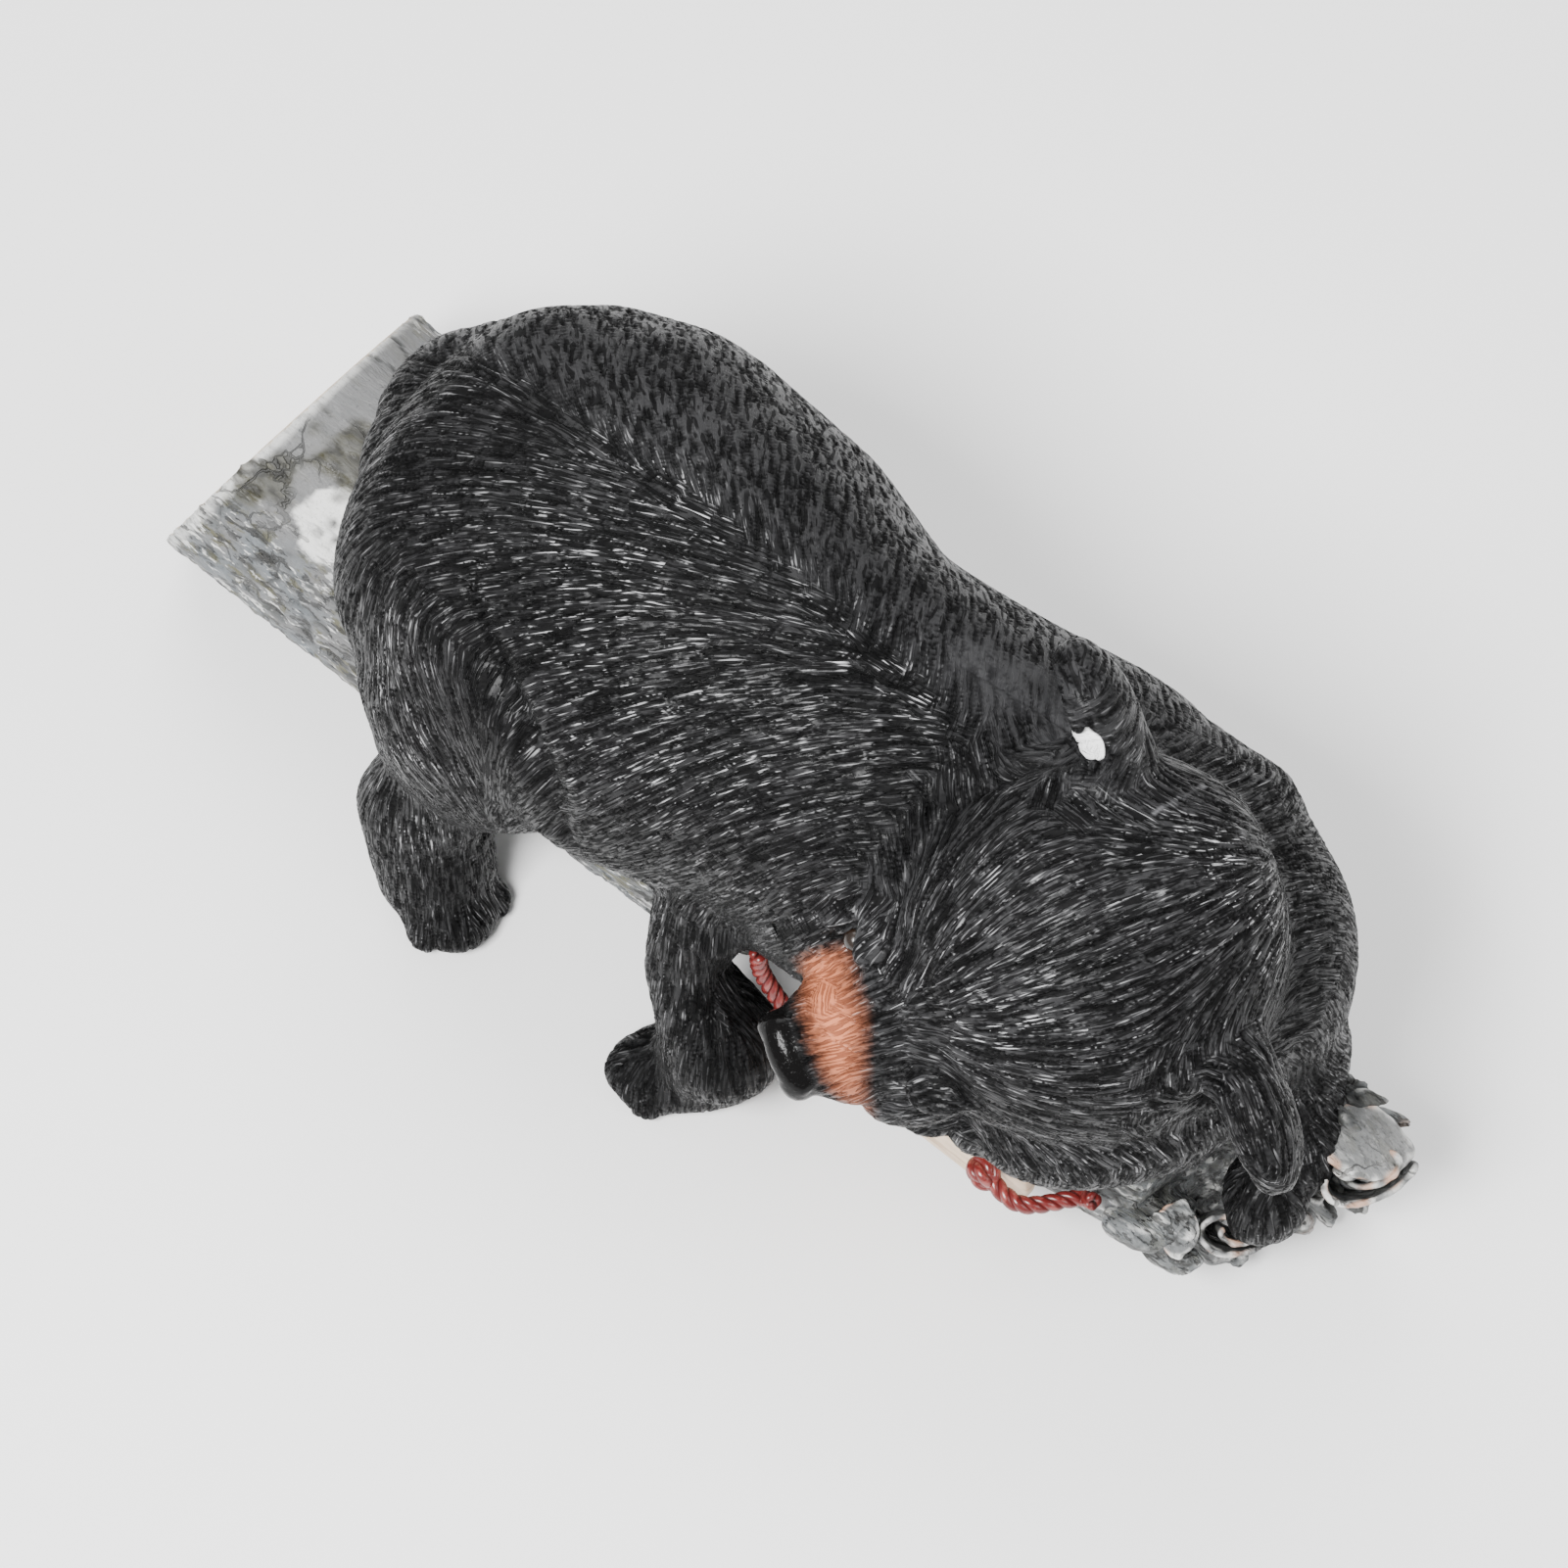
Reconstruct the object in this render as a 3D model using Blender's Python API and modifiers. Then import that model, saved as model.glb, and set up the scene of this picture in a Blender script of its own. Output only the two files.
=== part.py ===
"""Resin figurine: a black bear lies over a birch log with its head turned back, and a bare board hangs below it.

Metres, +Z up. The log lies along +X on the ground plane z = 0, its sawn end at -X and its broken end at +X.
The bear's right side, its face and the board are at -Y. The origin is on the flat underside of the log.
"""

import math

import bmesh
import bpy
from mathutils import Matrix, Vector, noise

# Clearance kept between pieces that touch
GAP = 0.0003

# Log
LOG_SAWN_X = -0.155
LOG_BROKEN_X = 0.150
LOG_SAWN_RADIUS = 0.0408
LOG_BROKEN_RADIUS = 0.0280
LOG_FLAT_DEPTH = 0.0022
LOG_SAWN_SLANT = math.radians(25)
LOG_SAWN_SKEW = math.radians(-2)
LOG_BOW = 0.0055
LOG_BREAK_RAKE = 0.034
LOG_BREAK_JAG = 0.005
BARK_RELIEF = 0.0011
# Rotted hollow in the near side of the log, behind the right foreleg
LOG_HOLLOW_X = 0.032
LOG_HOLLOW_ANGLE = math.radians(200)
LOG_HOLLOW_DEPTH = 0.0100
LOG_HOLLOW_SPREAD = 0.017
LOG_STATIONS = 26
LOG_SIDES = 32

# Curled bark at the broken end
SCROLL_WALL = 0.0021
SCROLL_TURNS = 1.6
SCROLL_STEPS = 17

# Bear: the trunk is as wide as this, and the other masses are shares of it
TRUNK_WIDTH = 0.114
TRUNK_SEAT = 0.030
HEAD_LENGTH = 0.104
HEAD_HEADING = math.radians(-126.4)
HEAD_PITCH = math.radians(-20.4)
HEAD_ROLL = math.radians(-28.9)
EAR_LEAN = math.radians(-52)
HIND_STANCE = 0.051
FORE_STANCE = 0.050
HIND_FOOT_TURN = math.radians(20)
FORE_PAW_TURN = math.radians(40)
COAT_GRAIN = 0.0013
COAT_SMOOTHING = 14
BEAR_FACE_SHARE = 0.028

# Board
BOARD_LENGTH = 0.062
BOARD_HEIGHT = 0.027
BOARD_THICKNESS = 0.0046
BOARD_X = 0.079
BOARD_BOTTOM = 0.0205
BOARD_HOLE_INSET = 0.010
BOARD_HOLE_DROP = 0.0095

# Rope
ROPE_DIAMETER = 0.0042
ROPE_STRANDS = 3
ROPE_LAY = 0.0085
ROPE_SIDES = 8
ROPE_STEPS = 4
KNOT_RADIUS = 0.0041


def make_collection(name):
    """A new collection linked to the scene."""
    group = bpy.data.collections.new(name)
    bpy.context.scene.collection.children.link(group)
    return group


def make_material(name, colour, roughness, metallic=0.0):
    """A Principled material with plain values."""
    material = bpy.data.materials.new(name)
    material.use_nodes = True
    shader = material.node_tree.nodes["Principled BSDF"]
    shader.inputs["Base Color"].default_value = (*colour, 1.0)
    shader.inputs["Roughness"].default_value = roughness
    shader.inputs["Metallic"].default_value = metallic
    material.diffuse_color = (*colour, 1.0)
    return material


def make_object(name, mesh, group, material=None):
    """An object for a mesh, in a collection."""
    piece = bpy.data.objects.new(name, mesh)
    group.objects.link(piece)
    if material:
        mesh.materials.append(material)
    return piece


def mesh_from(bm, name):
    """A mesh from a bmesh, which is freed."""
    mesh = bpy.data.meshes.new(name)
    bm.to_mesh(mesh)
    bm.free()
    return mesh


def make_cutter(name, mesh, group):
    """A hidden object for a Boolean."""
    cutter = make_object(name, mesh, group)
    cutter.hide_render = True
    cutter.display_type = "WIRE"
    return cutter


def add_boolean(piece, cutter, operation):
    """A Boolean modifier with the exact solver."""
    modifier = piece.modifiers.new(cutter.name, "BOOLEAN")
    modifier.operation = operation
    modifier.solver = "EXACT"
    modifier.object = cutter


def add_mass(bm, centre, radii, frame=None):
    """Adds an ellipsoid, turned by the 3x3 matrix frame."""
    turn = frame.to_4x4() if frame else Matrix.Identity(4)
    place = Matrix.Translation(centre) @ turn @ Matrix.Diagonal((*radii, 1.0))
    bmesh.ops.create_uvsphere(bm, u_segments=36, v_segments=24, radius=1.0, matrix=place)


def add_limb(bm, *joints):
    """Adds tapered limbs between (centre, radius) joints, as the hulls of each pair of balls."""
    for (start, start_radius), (end, end_radius) in zip(joints, joints[1:]):
        hull = bmesh.new()
        for centre, radius in ((start, start_radius), (end, end_radius)):
            place = Matrix.Translation(centre)
            bmesh.ops.create_uvsphere(hull, u_segments=20, v_segments=12, radius=radius, matrix=place)
        result = bmesh.ops.convex_hull(hull, input=hull.verts)
        spare = {v for v in result["geom_interior"] if isinstance(v, bmesh.types.BMVert)}
        bmesh.ops.delete(hull, geom=list(spare), context="VERTS")
        part = bpy.data.meshes.new("limb")
        hull.to_mesh(part)
        hull.free()
        bm.from_mesh(part)
        bpy.data.meshes.remove(part)


def log_share(x):
    """0 at the sawn end of the log, 1 at its broken end."""
    return (x - LOG_SAWN_X) / (LOG_BROKEN_X - LOG_SAWN_X)


def log_radius(x):
    """Mean radius of the log at x."""
    return LOG_SAWN_RADIUS + (LOG_BROKEN_RADIUS - LOG_SAWN_RADIUS) * log_share(x)


def log_axis(x):
    """Height of the log's axis at x, so that its flat underside is on the ground."""
    return log_radius(x) - LOG_FLAT_DEPTH


def log_side(x):
    """Sideways place of the log's axis at x: both ends bow a little to +Y."""
    return LOG_BOW * ((log_share(x) - 0.45) / 0.55) ** 2


def log_top(x):
    """Height of the top of the log at x."""
    return log_axis(x) + log_radius(x)


def bark_radius(x, angle):
    """Radius of the barked surface, with long low ridges and a few knots."""
    radius = log_radius(x)
    around = Vector((math.cos(angle), math.sin(angle), 0.0)) * 2.3
    ridge = noise.noise(around + Vector((0.0, 0.0, x * 22.0)))
    ripple = noise.noise(around * 2.4 + Vector((0.0, 0.0, x * 60.0)))
    relief = BARK_RELIEF * (0.9 * ridge + 0.7 * ripple)
    for knot_x, knot_angle, spread in ((-0.112, 1.45, 0.010), (0.104, 3.05, 0.009), (-0.040, 4.0, 0.010)):
        turn = math.remainder(angle - knot_angle, math.tau)
        gap = math.hypot(x - knot_x, turn * radius) / spread
        relief += 2.0 * BARK_RELIEF * math.exp(-gap * gap)
    turn = math.remainder(angle - LOG_HOLLOW_ANGLE, math.tau)
    gap = math.hypot(x - LOG_HOLLOW_X, 0.62 * turn * radius) / LOG_HOLLOW_SPREAD
    return radius + relief - LOG_HOLLOW_DEPTH * math.exp(-gap ** 4)


def log_end_x(angle):
    """Length of the log along a line at an angle about its axis: the far side of the break runs on further."""
    rake = LOG_BREAK_RAKE * 0.5 * math.cos(angle)
    jag = LOG_BREAK_JAG * noise.noise(Vector((math.cos(angle) * 3.1, math.sin(angle) * 3.1, 7.5)))
    return LOG_BROKEN_X - 0.006 + rake + jag


def log_mesh(extra=0.0):
    """Lofted log with bark, extra wider all round. Its sawn end is cut by build_log."""
    bm = bmesh.new()
    bmesh.ops.create_cone(
        bm, cap_ends=True, segments=LOG_SIDES, radius1=1.0, radius2=1.0, depth=1.0,
        matrix=Matrix.Rotation(math.radians(90), 4, "Y"),
    )
    sides = [edge for edge in bm.edges if abs(edge.verts[0].co.x - edge.verts[1].co.x) > 0.5]
    bmesh.ops.subdivide_edges(bm, edges=sides, cuts=LOG_STATIONS - 1)
    for end in (-0.5, 0.5):
        cap = [f for f in bm.faces if all(abs(v.co.x - end) < 1e-4 for v in f.verts)]
        bmesh.ops.poke(bm, faces=cap)
    sawn_start = LOG_SAWN_X - LOG_SAWN_RADIUS
    for vert in bm.verts:
        share = vert.co.x + 0.5
        rim = math.hypot(vert.co.y, vert.co.z)
        angle = math.atan2(vert.co.z, vert.co.y)
        x = sawn_start + (log_end_x(angle) - sawn_start) * share
        if rim < 0.5:
            x = sawn_start if share < 0.5 else LOG_BROKEN_X - 0.016
        reach = (bark_radius(x, angle) + extra) * rim
        vert.co = (x + extra * (2 if share > 0.99 else 0), log_side(x) + reach * math.cos(angle),
                   log_axis(x) + reach * math.sin(angle))
    bmesh.ops.triangulate(bm, faces=bm.faces, quad_method="FIXED")
    bmesh.ops.recalc_face_normals(bm, faces=bm.faces)
    return mesh_from(bm, "log")


def box_mesh(name, low, high):
    """A box between two corners."""
    bm = bmesh.new()
    size = [b - a for a, b in zip(low, high)]
    middle = [(a + b) / 2 for a, b in zip(low, high)]
    bmesh.ops.create_cube(bm, size=1.0, matrix=Matrix.Translation(middle) @ Matrix.Diagonal((*size, 1.0)))
    return mesh_from(bm, name)


def bark_curls():
    """The curls at the broken end: name, centre, outer radius, length, where the spiral starts, and lean."""
    r = LOG_BROKEN_RADIUS
    end, side, middle = LOG_BROKEN_X, log_side(LOG_BROKEN_X), log_axis(LOG_BROKEN_X)
    return (
        ("curl_near", (end - 0.020, side - 0.71 * r, middle - 0.36 * r), 0.285 * r, 0.016, 0.4, 0.10),
        ("curl_far", (end, side + 0.61 * r, middle + 0.21 * r), 0.43 * r, 0.034, 2.2, -0.08),
        ("curl_front", (end - 0.006, side - 0.47 * r, middle - 0.60 * r), 0.25 * r, 0.018, 1.2, 0.15),
        ("curl_low", (end - 0.002, side + 0.43 * r, middle - 0.53 * r), 0.27 * r, 0.026, 4.0, 0.0),
    )


def curl_space(name, centre, radius, length, lean):
    """The room that a curl takes up, GAP wider all round."""
    bm = bmesh.new()
    place = Matrix.Translation(centre) @ Matrix.Rotation(lean, 4, "Z") @ Matrix.Rotation(math.radians(90), 4, "Y")
    reach = radius + GAP
    bmesh.ops.create_cone(bm, cap_ends=True, segments=20, radius1=reach, radius2=reach,
                          depth=1.3 * length, matrix=place)
    return mesh_from(bm, name)


def scroll_mesh(name, centre, radius, length, turn, lean):
    """A curl of bark: a spiral wall, drawn in the YZ plane and pulled along the log."""
    bm = bmesh.new()
    rings = []
    for step in range(SCROLL_STEPS):
        share = step / (SCROLL_STEPS - 1)
        angle = turn + share * SCROLL_TURNS * math.tau
        outer = radius * (1.0 - 0.70 * share)
        ring = []
        for x, r in ((-0.5, outer), (0.5, outer), (0.5, outer - SCROLL_WALL), (-0.5, outer - SCROLL_WALL)):
            point = Vector((x * length, r * math.cos(angle), r * math.sin(angle)))
            point.x += 0.12 * length * math.sin(2.0 * angle) if x > 0 else 0.0
            ring.append(bm.verts.new(point))
        rings.append(ring)
    for back, front in zip(rings, rings[1:]):
        for i in range(4):
            j = (i + 1) % 4
            bm.faces.new((back[i], back[j], front[j], front[i]))
    bm.faces.new(rings[0][::-1])
    bm.faces.new(rings[-1])
    bmesh.ops.recalc_face_normals(bm, faces=bm.faces)
    place = Matrix.Translation(centre) @ Matrix.Rotation(lean, 4, "Z")
    bmesh.ops.transform(bm, matrix=place, verts=bm.verts)
    return mesh_from(bm, name)


def build_log(parts, cutters, material):
    """The log: barked, sawn square at one end, broken with curled bark at the other, flat underneath."""
    log = make_object("log", log_mesh(), parts, material)
    reach = 3.0 * LOG_SAWN_RADIUS
    saw = make_cutter("log_saw", box_mesh("log_saw", (-reach, -reach, -reach), (0.0, reach, reach)), cutters)
    saw.location = (LOG_SAWN_X, 0.0, log_axis(LOG_SAWN_X))
    saw.rotation_euler = (0.0, LOG_SAWN_SLANT, LOG_SAWN_SKEW)
    add_boolean(log, saw, "DIFFERENCE")
    ground = make_cutter("log_ground", box_mesh("log_ground", (-1.0, -1.0, -0.2), (1.0, 1.0, 0.0)), cutters)
    add_boolean(log, ground, "DIFFERENCE")
    for name, centre, radius, length, turn, lean in bark_curls():
        curl = make_cutter(name, scroll_mesh(name, centre, radius, length, turn, lean), cutters)
        add_boolean(log, curl, "UNION")
    return log


def head_frame():
    """Axes of the head as matrix columns: forward, left and up."""
    forward = Vector((
        math.cos(HEAD_PITCH) * math.cos(HEAD_HEADING),
        math.cos(HEAD_PITCH) * math.sin(HEAD_HEADING),
        math.sin(HEAD_PITCH),
    ))
    level = Vector((-math.sin(HEAD_HEADING), math.cos(HEAD_HEADING), 0.0))
    left = level * math.cos(HEAD_ROLL) + forward.cross(level) * math.sin(HEAD_ROLL)
    return Matrix((forward, left, forward.cross(left))).transposed()


def trunk_point(x, y, z):
    """A point given in trunk widths: x along the log, y to the left, z above the seat on the log."""
    place = x * TRUNK_WIDTH
    return Vector((place, y * TRUNK_WIDTH, log_top(0.0) - TRUNK_SEAT + z * TRUNK_WIDTH))


def add_trunk(bm):
    """Rump, barrel, withers and the left shoulder behind the head."""
    w = TRUNK_WIDTH
    stations = (
        (-0.66, 0.01, 0.55, 0.25, 0.47, 0.41),
        (-0.46, 0.00, 0.54, 0.34, 0.52, 0.46),
        (-0.15, 0.00, 0.54, 0.38, 0.51, 0.50),
        (0.12, 0.00, 0.54, 0.38, 0.41, 0.49),
        (0.40, 0.03, 0.51, 0.36, 0.43, 0.44),
        (0.66, 0.075, 0.45, 0.34, 0.47, 0.38),
        (0.88, 0.115, 0.40, 0.38, 0.43, 0.36),
    )
    for before, after in zip(stations, stations[1:]):
        for step in range(4):
            x, y, z, length, width, height = (a + (b - a) * step / 4 for a, b in zip(before, after))
            add_mass(bm, trunk_point(x, y, z), (length * w, width * w, height * w))
    add_mass(bm, trunk_point(0.94, 0.14, 0.36), (0.375 * w, 0.36 * w, 0.36 * w))
    add_mass(bm, trunk_point(-0.89, -0.02, 0.60), (0.06 * w, 0.10 * w, 0.11 * w))


def add_hind_leg(bm, side):
    """A hind leg at the side -1, right, or 1, left: thigh over the log, shin and a flat foot on the ground."""
    w = TRUNK_WIDTH
    hip = trunk_point(-0.455, side * 0.36, 0.33)
    tilt = Matrix.Rotation(side * math.radians(-10), 3, "X")
    add_mass(bm, hip, (0.275 * w, 0.19 * w, 0.36 * w), tilt)
    knee = Vector((hip.x - 0.02 * w, side * (HIND_STANCE - 0.006), 0.48 * w))
    hock = Vector((hip.x - 0.09 * w, side * HIND_STANCE, 0.30 * w))
    ankle = Vector((hip.x - 0.045 * w, side * (HIND_STANCE + 0.003), 0.11 * w))
    add_limb(bm, (knee, 0.120 * w), (hock, 0.138 * w), (ankle, 0.135 * w))
    turn = Matrix.Rotation(side * HIND_FOOT_TURN, 3, "Z")
    sole = Vector((ankle.x, ankle.y, 0.0))
    add_mass(bm, sole + turn @ Vector((0.02 * w, 0.0, 0.060 * w)), (0.175 * w, 0.115 * w, 0.085 * w), turn)
    add_toes(bm, sole, turn, 0.135 * w, 0.205 * w)


def add_toes(bm, sole, turn, reach, width):
    """Five toes with claws, in an arc ahead of a foot's middle."""
    for toe in range(5):
        across = (toe - 2) / 2
        ahead = reach - 0.17 * width * across * across
        place = turn @ Vector((ahead, -across * 0.5 * width, 0.17 * width))
        toe_size = (0.20 * width, 0.135 * width, 0.17 * width)
        add_mass(bm, sole + place, toe_size, turn)
        claw = turn @ Vector((ahead + 0.20 * width, -across * 0.5 * width, 0.13 * width))
        add_mass(bm, sole + claw, (0.12 * width, 0.05 * width, 0.07 * width), turn)


def add_right_foreleg(bm):
    """The right foreleg: straight down beside the log to a paw that splays out and back."""
    w = TRUNK_WIDTH
    shoulder = trunk_point(0.15, -0.29, 0.33)
    wrist = Vector((0.215 * w, -FORE_STANCE, 0.14 * w))
    forearm = Vector((0.140 * w, -FORE_STANCE + 0.002, 0.42 * w))
    elbow = Vector((0.275 * w, -FORE_STANCE, 0.25 * w))
    add_limb(bm, (shoulder, 0.13 * w), (forearm, 0.080 * w), (elbow, 0.130 * w), (wrist, 0.110 * w))
    turn = Matrix.Rotation(math.pi + FORE_PAW_TURN, 3, "Z")
    sole = Vector((wrist.x - 0.02 * w, wrist.y - 0.025 * w, 0.0))
    add_mass(bm, sole + Vector((0.0, 0.0, 0.065 * w)), (0.185 * w, 0.105 * w, 0.085 * w), turn)
    add_toes(bm, sole, turn, 0.115 * w, 0.18 * w)


def add_left_foreleg(bm):
    """The left foreleg: forward over the broken end, the paw hanging down over it."""
    w = TRUNK_WIDTH
    end = LOG_BROKEN_X
    shoulder = trunk_point(1.03, 0.17, 0.30)
    elbow = Vector((end - 0.006, 0.019, log_top(end) + 0.002))
    wrist = Vector((end + 0.005, 0.010, 0.40 * w))
    paw = Vector((end + 0.0045, 0.005, 0.28 * w))
    add_limb(bm, (shoulder, 0.22 * w), (elbow, 0.125 * w), (wrist, 0.105 * w))
    add_mass(bm, paw, (0.085 * w, 0.11 * w, 0.14 * w))
    for toe in range(5):
        across = (toe - 2) / 2
        drop = 0.10 * w - 0.02 * w * across * across
        add_mass(bm, paw + Vector((0.02 * w, across * 0.085 * w, -drop)), (0.05 * w, 0.026 * w, 0.045 * w))


def add_head(bm):
    """Skull, brows, cheeks, muzzle, nose pad, jaw and ears, in the head's own frame."""
    frame = head_frame()
    h = HEAD_LENGTH
    skull = trunk_point(0.865, -0.060, 0.63)

    def put(forward, left, up, radii, turn=None):
        centre = skull + frame @ (Vector((forward, left, up)) * h)
        turned = frame @ turn if turn else frame
        add_mass(bm, centre, [r * h for r in radii], turned)

    put(0.00, 0.0, 0.00, (0.43, 0.435, 0.37))
    put(0.16, 0.0, 0.03, (0.30, 0.35, 0.27))
    put(0.38, 0.0, 0.03, (0.19, 0.205, 0.165))
    put(0.51, 0.0, 0.02, (0.165, 0.180, 0.135))
    put(0.61, 0.0, 0.02, (0.085, 0.135, 0.095))
    put(0.665, 0.0, 0.045, (0.045, 0.100, 0.060))
    put(0.42, 0.0, -0.12, (0.20, 0.12, 0.07))
    put(-0.05, 0.0, -0.22, (0.34, 0.34, 0.24))
    put(0.10, -0.25, -0.13, (0.29, 0.16, 0.20))
    put(0.04, 0.31, -0.12, (0.37, 0.23, 0.22))
    for side in (-1, 1):
        put(0.315, side * 0.150, 0.130, (0.080, 0.075, 0.045))
        put(0.355, side * 0.148, 0.085, (0.036, 0.036, 0.034))
        put(-0.20, side * 0.35, 0.14, (0.110, 0.110, 0.120), ear_lean(side))
        put(-0.23, side * 0.45, 0.19, (0.085, 0.150, 0.175), ear_lean(side))
    return skull, frame


def ear_lean(side):
    """How an ear leans outwards from the crown, at the side -1, right, or 1, left."""
    return Matrix.Rotation(side * EAR_LEAN, 3, "X")


def ear_hollows(skull, frame):
    """The cups cut into the front of the ears."""
    bm = bmesh.new()
    h = HEAD_LENGTH
    for side in (-1, 1):
        centre = skull + frame @ (Vector((-0.145, side * 0.465, 0.205)) * h)
        add_mass(bm, centre, [r * h for r in (0.075, 0.095, 0.125)], frame @ ear_lean(side))
    return mesh_from(bm, "ear_hollows")


def build_bear(parts, cutters, material):
    """The bear: masses fused by a voxel remesh, smoothed, thinned, then seated on the log and the ground."""
    bm = bmesh.new()
    add_trunk(bm)
    for side in (-1, 1):
        add_hind_leg(bm, side)
    add_right_foreleg(bm)
    add_left_foreleg(bm)
    skull, frame = add_head(bm)
    bear = make_object("bear", mesh_from(bm, "bear"), parts, material)
    fuse = bear.modifiers.new("fuse", "REMESH")
    fuse.mode = "VOXEL"
    fuse.voxel_size = COAT_GRAIN
    hollows = make_cutter("ear_hollows", ear_hollows(skull, frame), cutters)
    add_boolean(bear, hollows, "DIFFERENCE")
    settle = bear.modifiers.new("settle", "REMESH")
    settle.mode = "VOXEL"
    settle.voxel_size = COAT_GRAIN
    soften = bear.modifiers.new("soften", "SMOOTH")
    soften.factor = 0.5
    soften.iterations = COAT_SMOOTHING
    thin = bear.modifiers.new("thin", "DECIMATE")
    thin.ratio = BEAR_FACE_SHARE
    seat = make_cutter("bear_seat", log_mesh(GAP), cutters)
    add_boolean(bear, seat, "DIFFERENCE")
    for name, centre, radius, length, _, lean in bark_curls():
        space = make_cutter(name + "_space", curl_space(name + "_space", centre, radius, length, lean), cutters)
        add_boolean(bear, space, "DIFFERENCE")
    ground = make_cutter("bear_ground", box_mesh("bear_ground", (-1.0, -1.0, -0.2), (1.0, 1.0, 0.0)), cutters)
    add_boolean(bear, ground, "DIFFERENCE")
    return bear


def board_face_y():
    """Outer face of the board, which hangs just clear of the log's widest line."""
    stations = [BOARD_X + (share / 8 - 0.5) * BOARD_LENGTH for share in range(9)]
    angles = [math.pi + turn for turn in (-0.3, 0.0, 0.3)]
    nearest = min(log_side(x) + bark_radius(x, angle) * math.cos(angle) for x in stations for angle in angles)
    return nearest - 2.0 * GAP - BOARD_THICKNESS


def board_hole(side):
    """Place of a rope hole in the board's outer face, at the side -1 or 1."""
    x = BOARD_X + side * (0.5 * BOARD_LENGTH - BOARD_HOLE_INSET)
    return Vector((x, board_face_y(), BOARD_BOTTOM + BOARD_HEIGHT - BOARD_HOLE_DROP))


def build_board(parts, material):
    """A bare plank with worn round ends."""
    bm = bmesh.new()
    steps = 9
    half, rise = 0.5 * BOARD_LENGTH, 0.5 * BOARD_HEIGHT
    outline = []
    for end in (1, -1):
        for step in range(steps):
            angle = math.radians(-90 + 180 * step / (steps - 1))
            worn = 1.0 + 0.05 * noise.noise(Vector((end * 2.0, angle * 1.7, 0.3)))
            x = end * (half - 0.55 * rise + 0.55 * rise * math.cos(angle) * worn)
            outline.append((x, end * rise * math.sin(angle) * worn))
    ring = [bm.verts.new((BOARD_X + x, board_face_y(), BOARD_BOTTOM + rise + z)) for x, z in outline]
    face = bm.faces.new(ring)
    pulled = bmesh.ops.extrude_face_region(bm, geom=[face])
    moved = [v for v in pulled["geom"] if isinstance(v, bmesh.types.BMVert)]
    bmesh.ops.translate(bm, vec=(0.0, BOARD_THICKNESS, 0.0), verts=moved)
    bmesh.ops.recalc_face_normals(bm, faces=bm.faces)
    board = make_object("sign_board", mesh_from(bm, "sign_board"), parts, material)
    edge = board.modifiers.new("edge", "BEVEL")
    edge.width = 0.0008
    edge.segments = 2
    edge.limit_method = "ANGLE"
    return board


def rope_mesh(name, points):
    """A laid rope along a smooth line through the points, with the strands' lobes and a knot at its last point."""
    line = []
    count = len(points)
    for i in range(count - 1):
        before = points[max(i - 1, 0)]
        after = points[min(i + 2, count - 1)]
        for step in range(ROPE_STEPS):
            t = step / ROPE_STEPS
            start, end = points[i], points[i + 1]
            line.append(0.5 * (2 * start + (end - before) * t
                               + (2 * before - 5 * start + 4 * end - after) * t * t
                               + (3 * start - before - 3 * end + after) * t * t * t))
    line.append(points[-1])
    bm = bmesh.new()
    rings = []
    travelled = 0.0
    for i, point in enumerate(line):
        ahead = line[min(i + 1, len(line) - 1)]
        behind = line[max(i - 1, 0)]
        travelled += (point - behind).length
        along = (ahead - behind).normalized()
        across = along.cross(Vector((0.0, 0.0, 1.0))).normalized()
        over = along.cross(across)
        ring = []
        for side in range(ROPE_SIDES):
            angle = math.tau * side / ROPE_SIDES
            lobe = math.cos(ROPE_STRANDS * (angle - math.tau * travelled / (ROPE_STRANDS * ROPE_LAY)))
            radius = 0.5 * ROPE_DIAMETER * (0.90 + 0.10 * lobe)
            ring.append(bm.verts.new(point + radius * (across * math.cos(angle) + over * math.sin(angle))))
        rings.append(ring)
    for back, front in zip(rings, rings[1:]):
        for i in range(ROPE_SIDES):
            j = (i + 1) % ROPE_SIDES
            bm.faces.new((back[i], back[j], front[j], front[i]))
    bm.faces.new(rings[0])
    bm.faces.new(rings[-1][::-1])
    bmesh.ops.recalc_face_normals(bm, faces=bm.faces)
    return mesh_from(bm, name)


def knot_mesh(name, centre):
    """A tight round knot, flattened against the board."""
    bm = bmesh.new()
    turn = Matrix.Rotation(math.radians(25), 3, "Y")
    place = Matrix.Translation(centre) @ turn.to_4x4() @ Matrix.Diagonal(
        (1.25 * KNOT_RADIUS, 0.75 * KNOT_RADIUS, KNOT_RADIUS, 1.0))
    bmesh.ops.create_uvsphere(bm, u_segments=14, v_segments=9, radius=1.0, matrix=place)
    return mesh_from(bm, name)


def build_rope(name, points, parts, cutters, material):
    """A length of rope from the log or the chest to its knot on the board."""
    rope = make_object(name, rope_mesh(name, points), parts, material)
    knot = make_cutter(name + "_knot", knot_mesh(name + "_knot", points[-1]), cutters)
    add_boolean(rope, knot, "UNION")
    return rope


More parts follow.
